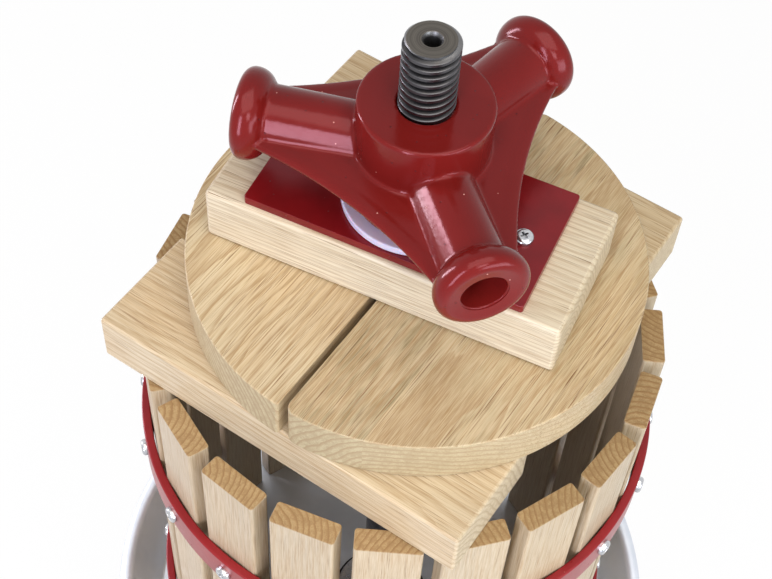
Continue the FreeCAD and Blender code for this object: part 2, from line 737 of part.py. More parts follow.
def make_hoop_screws(label, middle):
    """One pan-head screw for each slat, through the hoop."""
    screw = pan_head_screw(size("hoop_screw_radius"), size("hoop_screw_length"),
                           size("hoop_screw_head"), size("hoop_screw_dome"))
    screw.rotate(V(), V(0, 1, 0), 90)
    screw.translate(V(size("hoop_outside"), 0, size(middle)))
    screws = around(label, screw, int(size("slat_count")))
    return in_basket(screws)


def make_board(label, side, offset, shift):
    """A board across the basket's rim. side is -1 in front of the screw and +1 behind it."""
    body = new_body(label)
    section = sketch_on(body, "XY_Plane", "Section")
    rectangle(section, "board_length", "board_width")
    pad(body, section, "board_thick")
    round_edges(body, "board_round", lambda edge: True)
    along = "cos(board_angle * 1 deg)", "sin(board_angle * 1 deg)"
    x = f"{shift} * {along[0]} - {side} * {offset} * {along[1]}"
    y = f"{shift} * {along[1]} + {side} * {offset} * {along[0]}"
    return place(body, x, y, "board_foot", "board_angle")


def make_half_disc(label, half_turn):
    """Half of the split disc, notched round the screw. half_turn is 0 on the right and 180 on the left."""
    body = new_body(label)
    face = "disc_gap / 2"
    rim = f"sqrt(disc_radius ^ 2 - ({face}) ^ 2)"
    notch = f"sqrt(disc_bore ^ 2 - ({face}) ^ 2)"
    section = sketch_on(body, "XY_Plane", "Section")
    outline(section, [(face, f"-{rim}"), (face, rim), (face, notch), (face, f"-{notch}")],
            {0: ("disc_radius", 1), 2: ("disc_bore", -1)})
    pad(body, section, "disc_thick")
    reach = size("disc_radius") - 1
    round_edges(body, "disc_corner", lambda edge: is_upright(edge) and furthest(edge) > reach)
    round_edges(body, "disc_round", lambda edge: on_level(edge, "0", "disc_thick"))
    x, y = "disc_shift * cos(board_angle * 1 deg)", "disc_shift * sin(board_angle * 1 deg)"
    return place(body, x, y, "disc_foot", f"board_angle + {half_turn}")


def make_block():
    """The head block, bored for the screw, with pilot holes for the plate's screws."""
    body = new_body("head_block")
    section = sketch_on(body, "XY_Plane", "Section")
    rectangle(section, "block_length", "block_width")
    pad(body, section, "block_thick")
    round_edges(body, "block_round", lambda edge: True)
    bore = sketch_on(body, "XY_Plane", "Bore", "block_thick")
    circle(bore, "block_bore")
    pocket(body, bore)
    pilots = sketch_on(body, "XY_Plane", "Pilot_holes", "block_thick")
    for x in ("-plate_screw_pitch / 2", "plate_screw_pitch / 2"):
        circle(pilots, "plate_screw_radius + fit_gap", x)
    pocket(body, pilots, "plate_screw_length - plate_bar + fit_gap")
    return place(body, "block_x", "0", "block_foot", "block_angle")


def make_plate():
    """The steel plate on the block."""
    body = new_body("head_plate")
    section = sketch_on(body, "XY_Plane", "Section")
    rectangle(section, "plate_length", "plate_width")
    circle(section, "block_bore")
    for x in ("-plate_screw_pitch / 2", "plate_screw_pitch / 2"):
        circle(section, "plate_screw_radius + fit_gap", x)
    pad(body, section, "plate_bar")
    half = size("plate_width") / 2
    round_edges(body, "plate_corner", lambda edge: is_upright(edge) and furthest(edge) > half)
    return place(body, "block_x", "0", "plate_foot", "block_angle")


def make_plate_screws():
    """Two pan-head screws that hold the plate to the block."""
    screw = pan_head_screw(size("plate_screw_radius"), size("plate_screw_length"),
                           size("plate_screw_head"), size("plate_screw_dome"))
    pair = []
    for x, turn in (("-plate_screw_pitch / 2", "left_recess_turn"),
                    ("plate_screw_pitch / 2", "right_recess_turn")):
        copy = screw.copy()
        copy.rotate(V(), UP, size(turn))
        copy.translate(V(size(x), 0, 0))
        pair.append(copy)
    return place(group("plate_screws", pair), "block_x", "0", "plate_top", "block_angle")


def make_nut():
    """The three-armed nut: a cast hub, tubular arms with rolled lips and bar sockets, and a web."""
    body = new_body("nut_casting")
    hub = sketch_on(body, "XY_Plane", "Hub")
    circle(hub, "hub_radius")
    pad(body, hub, "nut_height")
    web = sketch_on(body, "XY_Plane", "Web", "arm_level - web_thick / 2")
    outline(web, *web_outline())
    pad(body, web, "web_thick")
    arm = arm_revolution(body)
    polar(body, [arm], "arm_count")
    sockets = sketch_on(body, "YZ_Plane", "Socket", "arm_reach")
    circle(sockets, "socket_radius", "0", "arm_level")
    polar(body, [pocket(body, sockets, "socket_depth")], "arm_count")
    doc.recompute()
    low, high = "arm_level - web_thick / 2", "arm_level + web_thick / 2"
    rim = size("hub_radius")
    round_edges(body, "web_round", lambda edge: on_level(edge, low, high) and is_web_edge(edge))
    round_edges(body, "cast_round",
                lambda edge: on_level(edge, low, high) and abs(furthest(edge) - rim) < 0.05)
    round_edges(body, "hub_round", lambda edge: on_level(edge, "0", "nut_height"))
    place(body, 0, 0, "nut_foot", "nut_angle")
    core = new_body("nut_core")
    bore = sketch_on(core, "XY_Plane", "Bore", "nut_foot - thread_pitch")
    circle(bore, "screw_radius - thread_depth + thread_gap")
    pad(core, bore, "nut_height + 2 * thread_pitch")
    return cut_away("three_arm_nut", body, nut_thread(), core)


def web_outline():
    """Three concave sides between the lips, each through the waist. Returns corners and arcs."""
    reach = "arm_reach - 2 * lip_bead"
    corners, arcs = [], {}
    count = int(size("arm_count"))
    for number in range(count):
        turn = f"{number} * 360 deg / arm_count"
        for side in ("-web_side", "web_side"):
            x = f"({reach}) * cos({turn}) - ({side}) * sin({turn})"
            y = f"({reach}) * sin({turn}) + ({side}) * cos({turn})"
            corners.append((x, y))
        radius = f"hypot({reach}; web_side)"
        lean = f"180 deg / arm_count - atan(web_side / ({reach}))"
        half = f"{radius} * sin({lean})"
        sag = f"({radius} * cos({lean}) - web_waist)"
        arcs[2 * number + 1] = (f"(({half}) ^ 2 + {sag} ^ 2) / (2 * {sag})", -1)
    return corners, arcs


def is_web_edge(edge):
    """Is this flat edge one of the web's long outer sides?"""
    if edge.Length < size("web_waist"):
        return False
    middle = edge.valueAt((edge.FirstParameter + edge.LastParameter) / 2)
    return abs(math.hypot(middle.x, middle.y) - size("web_waist")) < 3


def arm_revolution(body):
    """One arm along +X, turned about its own axis: tube, flared neck, bead and dished end."""
    side = sketch_on(body, "XZ_Plane", "Arm_half_section", lift="arm_level")
    neck = "arm_reach - 2 * lip_bead"
    crown = "arm_reach - lip_bead"
    core = "lip_radius - lip_bead"
    outline(side, [
        ("0", "0"),
        ("arm_reach - lip_dish", "0"),
        ("arm_reach - lip_dish", "socket_radius"),
        ("arm_reach", core),
        (crown, "lip_radius"),
        (neck, f"{core} + lip_step"),
        (neck, "arm_radius"),
        ("0", "arm_radius"),
    ], {3: ("lip_bead", 1), 4: ("lip_bead", 1)})
    feature = body.newObject("PartDesign::Revolution", "Arm")
    feature.Profile = side
    feature.ReferenceAxis = (side, ["H_Axis"])
    feature.Angle = 360
    return feature


def nut_thread():
    """The screw's own ridge, grown by the thread's air, which the nut's thread leaves room for."""
    gap = size("thread_gap")
    pitch, depth = size("thread_pitch"), size("thread_depth")
    spread = math.tan(math.radians(size("thread_flank")))
    ridge_crest = pitch - size("thread_floor") - 2 * spread * depth
    inner = size("screw_radius") - depth - gap
    outer = size("screw_radius") + gap
    width_at = lambda radius: ridge_crest + 2 * gap + 2 * spread * (size("screw_radius") - radius)
    first = size("thread_start") + pitch / 2
    below = math.floor((size("nut_foot") - first) / pitch) - 1
    turns = size("nut_height") / pitch + 4
    return helical_tool(pitch, turns, first + below * pitch, inner, outer, width_at(inner), width_at(outer))


def make_stand():
    tray_stack = "spigot_radius + fit_gap"
    parts = [
        make_screw(),
        ring("foot_washer", tray_stack, "foot_washer_radius", "foot_nut_top", "foot_washer_bar"),
        hex_nut("foot_nut", "foot_nut_width", "foot_nut_height",
                "spigot_radius + fit_gap / 2", "foot_nut_top"),
        make_hub_plate(),
        ring("centre_spacer", tray_stack, "spacer_radius", "leg_under", "leg_bar"),
        ring("tray_seal", tray_stack, "seal_radius", "deck_height", "seal_bar"),
        ring("clamp_washer", tray_stack, "clamp_washer_radius", "deck_height + seal_bar", "clamp_washer_bar"),
        make_tray(),
        make_spout(),
        make_leg_bolts(),
        make_leg_nuts(),
    ]
    return parts + [make_leg(number + 1) for number in range(int(size("leg_count")))]


def make_basket():
    top_hoop = "slat_length - hoop_inset - hoop_height"
    parts = [
        make_hoop("hoop_top", top_hoop),
        make_hoop("hoop_bottom", "hoop_inset"),
        make_hoop_screws("hoop_screws_top", f"{top_hoop} + hoop_height / 2"),
        make_hoop_screws("hoop_screws_bottom", "hoop_inset + hoop_height / 2"),
    ]
    return parts + [make_slat(number + 1) for number in range(int(size("slat_count")))]


def make_stack():
    """All that lies on the basket's rim, from the boards up to the nut."""
    washer_bore = "screw_radius + washer_play"
    return [
        make_board("board_front", -1, "front_board_offset", "front_board_shift"),
        make_board("board_back", 1, "back_board_offset", "back_board_shift"),
        make_half_disc("half_disc_right", 0),
        make_half_disc("half_disc_left", 180),
        make_block(),
        make_plate(),
        make_plate_screws(),
        ring("thrust_washer", washer_bore, "washer_radius", "washer_foot", "washer_thick", "washer_round"),
        make_nut(),
    ]


def check_document():
    """Stop if any object of the document failed to build."""
    for obj in doc.Objects:
        if {"Invalid", "Error"} & set(obj.State):
            raise RuntimeError(f"{obj.Label} is {obj.State}")


def export(parts):
    """Write each part to its own STEP file, after checking its shape."""
    os.makedirs("parts", exist_ok=True)
    for obj in parts:
        shape = obj.Shape
        if shape.isNull() or not shape.isValid() or shape.Volume < 1:
            raise RuntimeError(f"{obj.Label} has no sound shape")
        shape.exportStep(f"parts/{obj.Label}.step")
        print(f"{obj.Label}: {len(shape.Solids)} solids, {shape.Volume / 1000:.2f} cm3")


fill_sheet()
PARTS = make_stand() + make_basket() + make_stack()
doc.recompute()
check_document()
export(PARTS)
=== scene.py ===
"""Basket fruit press: timber, enamelled casting, painted and bright steel, and a plain studio round them."""
import math
import random

import bmesh
import bpy
from bpy.props import FloatProperty, FloatVectorProperty, IntProperty, PointerProperty
from mathutils import Matrix, Vector


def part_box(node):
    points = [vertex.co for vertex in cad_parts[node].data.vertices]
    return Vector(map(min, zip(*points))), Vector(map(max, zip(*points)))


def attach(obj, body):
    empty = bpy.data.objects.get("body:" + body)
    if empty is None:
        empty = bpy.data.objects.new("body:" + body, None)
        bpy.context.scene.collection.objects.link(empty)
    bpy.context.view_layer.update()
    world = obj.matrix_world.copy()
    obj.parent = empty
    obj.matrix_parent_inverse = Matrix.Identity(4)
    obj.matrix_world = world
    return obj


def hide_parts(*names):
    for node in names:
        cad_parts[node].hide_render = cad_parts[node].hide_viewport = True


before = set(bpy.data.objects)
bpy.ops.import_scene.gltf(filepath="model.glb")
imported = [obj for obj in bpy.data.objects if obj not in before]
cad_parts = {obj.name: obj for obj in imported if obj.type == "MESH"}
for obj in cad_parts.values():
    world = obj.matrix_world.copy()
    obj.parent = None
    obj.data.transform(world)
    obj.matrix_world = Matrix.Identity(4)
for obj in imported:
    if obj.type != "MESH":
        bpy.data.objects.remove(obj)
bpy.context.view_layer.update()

bl_info = {
    "name": "Fruit press",
    "version": (1, 0, 0),
    "blender": (4, 5, 0),
    "location": "3D View > Sidebar > Press",
    "description": "Timber, casting, steelwork and studio of a basket fruit press",
    "category": "Object",
}

MM = 0.001
QUARTER, TURN = math.pi / 2, 2 * math.pi
X_AXIS, Y_AXIS, Z_AXIS = Vector((1, 0, 0)), Vector((0, 1, 0)), Vector((0, 0, 1))


# Sizes read from the CAD parts in model.glb

def low(node):
    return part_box(node)[0]


def high(node):
    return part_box(node)[1]


def turned_box(node, turn):
    """Where a node that stands turned about Z has its middle, and its length, width and height."""
    points = [about_z(-turn) @ vertex.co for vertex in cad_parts[node].data.vertices]
    least, most = (Vector([limit(values) for values in zip(*points)]) for limit in (min, max))
    return about_z(turn) @ Matrix.Translation((least + most) / 2), most - least


def display(red, green, blue):
    """A colour as it shows on a screen, 0 to 255, as a linear colour."""
    return tuple(
        value / 255 / 12.92 if value < 11 else ((value / 255 + 0.055) / 1.055) ** 2.4
        for value in (red, green, blue))


def length_of(name, millimetres, description):
    return FloatProperty(name=name, description=description, default=millimetres * MM, min=0,
                         subtype="DISTANCE", unit="LENGTH", precision=5)


def angle_of(name, degrees, description):
    return FloatProperty(name=name, description=description, default=math.radians(degrees),
                         subtype="ANGLE", unit="ROTATION")


def share_of(name, value, description):
    return FloatProperty(name=name, description=description, default=value, min=0, max=1, subtype="FACTOR")


def colour_of(name, colour, description):
    return FloatVectorProperty(name=name, description=description, default=colour, size=3,
                               min=0, max=1, subtype="COLOR")


# Finishes

def sign(operation, swapped=False):
    """One of Python's own signs as a Math node."""
    def wired(self, other):
        first, second = (other, self) if swapped else (self, other)
        return self.finish.node("ShaderNodeMath", {"operation": operation}, {0: first, 1: second})
    return wired


class Socket:
    """A number output of a finish's node. Python sums on it add Math nodes."""

    def __init__(self, finish, output):
        self.finish, self.output = finish, output

    __add__, __radd__ = sign("ADD"), sign("ADD", swapped=True)
    __sub__, __rsub__ = sign("SUBTRACT"), sign("SUBTRACT", swapped=True)
    __mul__, __rmul__ = sign("MULTIPLY"), sign("MULTIPLY", swapped=True)
    __truediv__, __pow__ = sign("DIVIDE"), sign("POWER")

    def wrapped(self):
        return self.finish.node("ShaderNodeMath", {"operation": "FRACT"}, {0: self})

    def rise(self, start, end, least=0.0, most=1.0):
        """A smooth climb from least to most while the number goes from start to end."""
        return self.finish.node("ShaderNodeMapRange", {"interpolation_type": "SMOOTHSTEP"}, {
            "Value": self, "From Min": start, "From Max": end, "To Min": least, "To Max": most})


class Wiring:
    """Nodes being written into a node tree."""

    def __init__(self, tree):
        self.nodes, self.links = tree.nodes, tree.links

    def node(self, kind, settings, values, output=None):
        """Add a node: its settings first, then the values or links of its sockets. Returns one output."""
        node = self.nodes.new(kind)
        for name, value in settings.items():
            setattr(node, name, value)
        for key, value in values.items():
            self.join(self.socket(node.inputs, key), value)
        found = self.socket(node.outputs, output) if output else next(s for s in node.outputs if s.enabled)
        return Socket(self, found)

    @staticmethod
    def socket(sockets, key):
        if isinstance(key, int):
            return sockets[key]
        return next(socket for socket in sockets if socket.enabled and socket.name == key)

    def join(self, socket, value):
        if isinstance(value, Socket):
            self.links.new(value.output, socket)
        elif socket.type == "RGBA":
            socket.default_value = (*value, 1)
        else:
            socket.default_value = value


class Finish(Wiring):
    """A material being written, node by node, round one shader."""

    def __init__(self, name, **constants):
        self.material = bpy.data.materials.new(name)
        self.material.use_nodes = True
        super().__init__(self.material.node_tree)
        self.nodes.clear()
        self.end = self.nodes.new("ShaderNodeOutputMaterial")
        self.shader = self.nodes.new("ShaderNodeBsdfPrincipled")
        self.links.new(self.shader.outputs[0], self.end.inputs["Surface"])
        for socket, value in constants.items():
            self.shader.inputs[socket.replace("_", " ")].default_value = value

    def place(self):
        """Where a point is on the object, in millimetres."""
        inside = self.node("ShaderNodeTexCoord", {}, {}, "Object")
        return self.stretched(inside, (1000, 1000, 1000))

    def attribute(self, name, output):
        return self.node("ShaderNodeAttribute", {"attribute_name": name}, {}, output)

    def stretched(self, vector, factors):
        return self.node("ShaderNodeVectorMath", {"operation": "MULTIPLY"}, {0: vector, 1: factors})

    def moved(self, vector, step):
        return self.node("ShaderNodeVectorMath", {"operation": "ADD"}, {0: vector, 1: step})

    def parts(self, vector):
        return [self.node("ShaderNodeSeparateXYZ", {}, {"Vector": vector}, axis) for axis in "XYZ"]

    def vector(self, x, y, z):
        return self.node("ShaderNodeCombineXYZ", {}, {"X": x, "Y": y, "Z": z})

    def cloud(self, vector, size, detail=2.0, rough=0.5):
        """Noise from 0 to 1 whose blobs are about size across."""
        return self.node("ShaderNodeTexNoise", {}, {
            "Vector": vector, "Scale": 1 / size, "Detail": detail, "Roughness": rough}, "Fac")

    def cells(self, place, per_mm):
        """How far a point is from the middle of its cell, in cells, where the cells lie at random."""
        return self.node("ShaderNodeTexVoronoi", {}, {
            "Vector": place, "Scale": per_mm, "Randomness": 1.0}, "Distance")

    def mixed(self, share, first, second):
        """A colour between two others."""
        return self.node("ShaderNodeMix", {"data_type": "RGBA"}, {"Factor": share, "A": first, "B": second})

    def layered(self, colour, *layers):
        """A colour under others, each given as its share and its colour."""
        for share, tone in layers:
            colour = self.mixed(share, colour, tone)
        return colour

    def bump(self, height, strength, distance):
        return self.node("ShaderNodeBump", {}, {
            "Strength": strength, "Distance": distance, "Height": height})

    def done(self, **varying):
        for socket, value in varying.items():
            self.join(self.shader.inputs[socket.replace("_", " ")], value)
        return self.material


def from_axis(x, y):
    """How far the point of two number outputs lies from nothing."""
    return (x * x + y * y) ** 0.5


def timber_finish(name, tones, grain, shine):
    """Ring-porous timber cut from one solid: rings, pores and fibres run on from a face into the end."""
    finish = Finish(name, IOR=1.45, Specular_IOR_Level=0.6)
    place = finish.attribute("grain", "Vector")

    def drawn_out(times, size, *detail):
        """Noise whose blobs are longer along the grain than across it."""
        return finish.cloud(finish.stretched(place, (1 / times, 1, 1)), size, *detail)

    sawn_end = finish.attribute("sawn_end", "Fac")
    dull = finish.attribute("dull", "Fac")
    _, across, through = finish.parts(place)
    drift = finish.cloud(finish.stretched(place, (1 / 7, 1 / 3, 1 / 3)), 10, 1.0) - 0.5
    wobble = drawn_out(8, 3) - 0.5
    span = from_axis(across, through) + drift * grain.wander + wobble * grain.waver
    year = (span / grain.ring_width).wrapped()
    early = year.rise(0.0, 0.1) * year.rise(0.62, 0.2)
    late = year.rise(0.45, 0.93) * year.rise(1.0, 0.96)
    fibre = drawn_out(30, 0.45, 2.0, 0.6)
    streak = drawn_out(40, 0.75, 2.0, 0.6)
    pores = drawn_out(70, 0.36, 1.5).rise(0.62 - 0.1 * grain.pores, 0.72) * (0.3 + 0.7 * early)
    patch = drawn_out(3, 34)
    figure = drawn_out(4, 11, 3.0, 0.65)
    end_patch = drawn_out(4, 3.2, 4.0, 0.7)
    end_grit = finish.cloud(place, 0.7)
    face = finish.layered(
        tones.pale,
        (patch.rise(0.35, 0.7), tones.warm),
        (dull * figure.rise(0.36, 0.6, 0.2, 1.0), tones.dull),
        (streak.rise(0.42, 0.72) * grain.streaks, tones.streak),
        (late * grain.rings, tones.ring),
        (fibre.rise(0.35, 0.65) * 0.45, tones.fibre),
        (pores * grain.pores, tones.pore))
    end = finish.layered(
        tones.end,
        (late * 0.85, tones.end_ring),
        (end_patch.rise(0.4, 0.62) * 0.65, tones.end_dark),
        (end_grit.rise(0.4, 0.75) * 0.35, tones.end_ring))
    colour = finish.mixed(sawn_end, face, end)
    height = fibre * 0.5 - pores * 0.9 - early * 0.25 + late * 0.1
    rough = shine.roughness + (fibre - 0.5) * 0.12 + sawn_end * 0.22 + pores * 0.2
    return finish.done(Base_Color=colour, Roughness=rough,
                       Normal=finish.bump(height, 0.7, 0.16 * MM), Coat_Weight=shine.coat * (1 - sawn_end))


def enamel_finish(name, look):
    """Thick stoved enamel: slightly dished and pitted, with painted shade in the pits, and a few pale specks
    in its skin that are partly paint chips and partly painted glints.
    """
    finish = Finish(name, IOR=1.5, Specular_IOR_Level=look.gloss, Specular_Tint=(1.0, 0.55, 0.62, 1.0))
    place = finish.place()
    skin = finish.cloud(place, look.peel, 1.5)
    slow = finish.cloud(place, 16)
    pit = finish.cells(place, 0.16).rise(0.085, 0.05)
    # Pale specks: partly paint chips, partly painted glints of light on the enamel.
    chip_and_glint = finish.cells(finish.moved(place, (13, 7, 3)), 0.12).rise(0.05, 0.03)
    # The pits take a darker colour: painted shade in the pits.
    colour = finish.layered(look.body, (slow.rise(0.3, 0.75) * 0.5, look.shade), (pit * 0.7, look.deep),
                            (chip_and_glint * look.specks, look.pale))
    rough = look.roughness + (skin - 0.5) * 0.1 + pit * 0.2
    height = skin * 0.5 + slow * 0.6 - pit * 0.8
    return finish.done(Base_Color=colour, Roughness=rough, Normal=finish.bump(height, look.relief, 0.12 * MM))


def steel_finish(name, look):
    """Bare or plated metal, with turning marks about the press's axis where lines is above nothing."""
    finish = Finish(name)
    place = finish.place()
    blotch = finish.cloud(place, look.blotch, 3.0, 0.6)
    fine = finish.cloud(place, 0.35)
    x, y, z = finish.parts(place)
    marks = finish.cloud(finish.vector(from_axis(x, y), z, 0.0), look.mark, 2.0, 0.7)
    colour = finish.mixed(blotch.rise(0.35, 0.7), look.body, look.shade)
    height = marks * look.lines + fine * 0.2
    rough = look.roughness + (blotch - 0.5) * 0.2 + (marks - 0.5) * 0.14 * look.lines
    return finish.done(Base_Color=colour, Metallic=look.metal, Roughness=rough,
                       Normal=finish.bump(height, look.relief, 0.04 * MM))


class Look:
    """Plain named values of one finish."""

    def __init__(self, **values):
        self.__dict__.update(values)


def toward(first, second, share):
    """A colour on the way from one to another."""
    return tuple(a + (b - a) * share for a, b in zip(first, second))


def timber_tones(pale, end, warmth, end_share):
    """The tones of one kind of timber from its base colour and its end colour."""
    brown = display(118, 80, 38)
    return Look(
        pale=pale, warm=toward(pale, display(194, 162, 116), warmth),
        streak=toward(pale, display(160, 122, 72), 0.85), ring=toward(pale, display(148, 112, 62), 0.8),
        fibre=toward(pale, display(222, 208, 180), 0.6), dull=toward(pale, display(118, 104, 62), 0.8),
        pore=brown, end=end, end_ring=toward(end, display(126, 88, 44), end_share),
        end_dark=toward(end, brown, end_share * 0.7))


def make_finishes():
    timber, metal = bpy.context.scene.press_timber, bpy.context.scene.press_metal
    shine = Look(roughness=timber.roughness, coat=timber.varnish)
    usual_grain = dict(wander=9.0, waver=1.2, rings=0.7, pores=0.85, streaks=0.65)

    def wood(name, pale, end, warmth, end_share, **grain):
        tones = timber_tones(pale, end, warmth, end_share)
        return timber_finish(name, tones, Look(**{**usual_grain, **grain}), shine)

    # The third colour of a paint is the darker colour of its pits, painted shade.
    def paint(name, body, shade, deep, pale, **look):
        return enamel_finish(name, Look(
            body=body, shade=display(*shade), deep=display(*deep), pale=display(*pale), **look))

    def steel(name, body, shade, **look):
        return steel_finish(name, Look(body=display(*body), shade=display(*shade), **look))

    return {
        "board_wood": wood("planed board timber", timber.board_colour, timber.board_end, 0.45, 0.5,
                           ring_width=3.4),
        "block_wood": wood("head block timber", timber.block_colour, timber.board_end, 0.25, 0.5,
                           ring_width=2.6, streaks=0.45, rings=0.6, wander=5.0),
        "disc_wood": wood("split disc timber", timber.disc_colour, timber.disc_end, 0.6, 0.6,
                          ring_width=3.2, streaks=0.8, rings=0.9, pores=1.0),
        "slat_wood": wood("basket slat timber", timber.slat_colour, timber.slat_end, 0.3, 0.85,
                          ring_width=2.8, streaks=0.5, rings=0.35, pores=0.6),
        "casting_red": paint("casting enamel", metal.casting_colour,
                             (106, 22, 18), (48, 8, 10), (226, 170, 160),
                             gloss=0.28, peel=2.4, roughness=0.17, relief=0.6, specks=0.9),
        "plate_red": paint("plate paint", metal.plate_colour, (92, 17, 18), (50, 8, 10), (220, 150, 150),
                           gloss=0.5, peel=3.0, roughness=0.24, relief=0.35, specks=0.5),
        "hoop_red": paint("hoop paint", metal.hoop_colour, (122, 26, 29), (90, 16, 20), (230, 180, 176),
                          gloss=0.5, peel=2.2, roughness=0.3, relief=0.35, specks=0.2),
        "red_steel": paint("stand paint", metal.hoop_colour, (130, 26, 30), (90, 16, 20), (230, 180, 176),
                           gloss=0.3, peel=2.0, roughness=0.32, relief=0.4, specks=0.25),
        "zinc_steel": steel("bright zinc plate", (206, 207, 210), (176, 178, 184),
                            blotch=3.0, mark=0.2, lines=0.0, roughness=0.24, metal=1.0, relief=0.3),
        "tray_steel": steel("spun stainless tray", (228, 233, 242), (216, 222, 233),
                            blotch=40.0, mark=0.5, lines=1.0, roughness=0.42, metal=0.7, relief=0.4),
        "dark_steel": screw_finish(metal),
        "nylon": nylon_finish(metal),
        "seal_rubber": rubber_finish(),
    }


def screw_finish(metal):
    """Oiled steel: dark grooves, partly oil and partly painted shade, lighter crests, partly rubbed wear and
    partly a painted highlight, and a lathe-turned top with a bright edge.
    """
    finish = Finish("oiled screw steel")
    place = finish.place()
    x, y, z = finish.parts(place)
    radius = from_axis(x, y)
    top = high("press_screw").z / MM
    faced = z.rise(top - 0.35, top - 0.1)
    edge = z.rise(top - 2.0, top - 1.2) * (1 - faced)
    # The crests get a lighter colour, partly rubbed wear and partly a painted highlight; the groove's darker
    # colour is partly oil and partly painted shade.
    crest = radius.rise(11.5, 11.98)
    blotch = finish.cloud(place, 6.0, 3.0, 0.6)
    tool = finish.cloud(finish.vector(radius, z * 0.2, 0.0), 0.3)
    ringed = finish.mixed(tool.rise(0.3, 0.7), metal.faced_colour, display(78, 74, 70))
    colour = finish.layered(
        metal.groove_oil_and_shade_colour, (crest, metal.crest_wear_and_highlight_colour), (blotch.rise(0.5, 0.8) * 0.4, display(84, 78, 72)),
        (faced, ringed), (edge, display(112, 112, 114)))
    rough = 0.4 - crest * 0.1 + (blotch - 0.5) * 0.25
    return finish.done(Base_Color=colour, Metallic=0.85 + crest * 0.15, Roughness=rough,
                       Normal=finish.bump(tool + blotch * 0.3, 0.5, 0.05 * MM))


def nylon_finish(metal):
    """Milky turned nylon with faint lathe rings."""
    finish = Finish("milky nylon", Subsurface_Weight=0.25, Subsurface_Scale=2 * MM, IOR=1.5)
    place = finish.place()
    x, y, _ = finish.parts(place)
    rings = finish.cloud(finish.vector(from_axis(x, y), 0.0, 0.0), 0.3)
    cloudy = finish.cloud(place, 9)
    colour = finish.mixed(cloudy.rise(0.35, 0.7), metal.nylon_colour, display(214, 208, 228))
    return finish.done(Base_Color=colour, Roughness=0.36 + (rings - 0.5) * 0.2,
                       Normal=finish.bump(rings, 0.4, 0.05 * MM))


def rubber_finish():
    """Matt black rubber with a dusty bloom."""
    finish = Finish("seal rubber", Specular_IOR_Level=0.3)
    place = finish.place()
    bloom, fine = finish.cloud(place, 7, 3.0), finish.cloud(place, 0.4, 2.0)
    colour = finish.mixed(bloom.rise(0.4, 0.8), display(34, 34, 36), display(62, 60, 60))
    return finish.done(Base_Color=colour, Roughness=0.62 + (bloom - 0.5) * 0.2,
                       Normal=finish.bump(fine, 0.4, 0.1 * MM))


FINISHES = {}  # each slot's material, made in main() before the pieces


# Shapes

def arc(centre, radius, start, end, steps):
    """Points of an arc in a half section, angles in degrees from the outward direction."""
    turns = [math.radians(start + (end - start) * step / steps) for step in range(steps + 1)]
    return [(centre[0] + radius * math.cos(turn), centre[1] + radius * math.sin(turn)) for turn in turns]


def with_neighbours(corners):
    """Each corner of a closed outline between the one before and the one after."""
    return zip(corners[-1:] + corners[:-1], corners, corners[1:] + corners[:1])


def softened_corners(corners, radius, steps):
    """A closed outline of straight sides whose corners are rounded."""
    points = []
    for before, corner, after in with_neighbours(corners):
        first, second = (Vector(before) - Vector(corner)), (Vector(after) - Vector(corner))
        reach = radius / math.tan(first.angle(second) / 2)
        start, end = (Vector(corner) + side.normalized() * reach for side in (first, second))
        for step in range(steps + 1):
            share = step / steps
            bent = start * (1 - share) ** 2 + Vector(corner) * 2 * share * (1 - share) + end * share ** 2
            points.append(tuple(bent))
    return points


def spun(section, steps, closed=False):
    """A section of (radius, height) points turned about Z. Poles and the seam are merged."""
    bm = bmesh.new()
    verts = [bm.verts.new((radius, 0, height)) for radius, height in section]
    pairs = list(zip(verts, verts[1:])) + ([(verts[-1], verts[0])] if closed else [])
    edges = [bm.edges.new(pair) for pair in pairs]
    bmesh.ops.spin(bm, geom=verts + edges, cent=(0, 0, 0), axis=Z_AXIS, angle=TURN, steps=steps,
                   use_merge=True)
    return cleaned(bm)


def plug(radius, bottom, top, steps):
    """A solid cylinder about Z between two levels."""
    return spun([(0, bottom), (radius, bottom), (radius, top), (0, top)], steps)


def flat_ring(node, inner, rounding, corner_steps=3, steps=128):
    """A turned ring about Z with a node's outer radius and levels."""
    lowest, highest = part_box(node)
    outer = (highest.x - lowest.x) / 2
    corners = [(inner, lowest.z), (outer, lowest.z), (outer, highest.z), (inner, highest.z)]
    return spun(softened_corners(corners, rounding, corner_steps), steps, closed=True)


def only(kind, items):
    return [item for item in items if isinstance(item, kind)]


def extruded(outline, along):
    """A closed solid: an outline of points drawn along a vector."""
    bm = bmesh.new()
    side = bm.faces.new([bm.verts.new(point) for point in outline])
    grown = bmesh.ops.extrude_face_region(bm, geom=[side])["geom"]
    bmesh.ops.translate(bm, vec=along, verts=only(bmesh.types.BMVert, grown))
    bmesh.ops.recalc_face_normals(bm, faces=bm.faces)
    return bm


def cleaned(bm, distance=1e-6):
    bmesh.ops.remove_doubles(bm, verts=bm.verts, dist=distance)
    bmesh.ops.recalc_face_normals(bm, faces=bm.faces)
    return bm


def cuboid(length, width, height):
    """A block about the origin."""
    bm = bmesh.new()
    bmesh.ops.create_cube(bm, size=1, matrix=Matrix.Diagonal((length, width, height, 1)))
    return bm


def sliced(bm, place, direction, **settings):
    """Part the faces along a plane."""
    bmesh.ops.bisect_plane(bm, geom=bm.verts[:] + bm.edges[:] + bm.faces[:],
                           plane_co=place, plane_no=direction, **settings)


def runs_along(axis):
    """Tells whether an edge runs along an axis, given by its number."""
    return lambda edge: abs(edge.verts[0].co[axis] - edge.verts[1].co[axis]) > 1 * MM


def even_along(axis):
    """Tells whether both ends of an edge are equally far along an axis."""
    return lambda edge: edge.verts[0].co[axis] == edge.verts[1].co[axis]


def sharper(degrees):
    """Tells whether an edge's faces turn by more than an angle."""
    return lambda edge: edge.calc_face_angle() > math.radians(degrees)


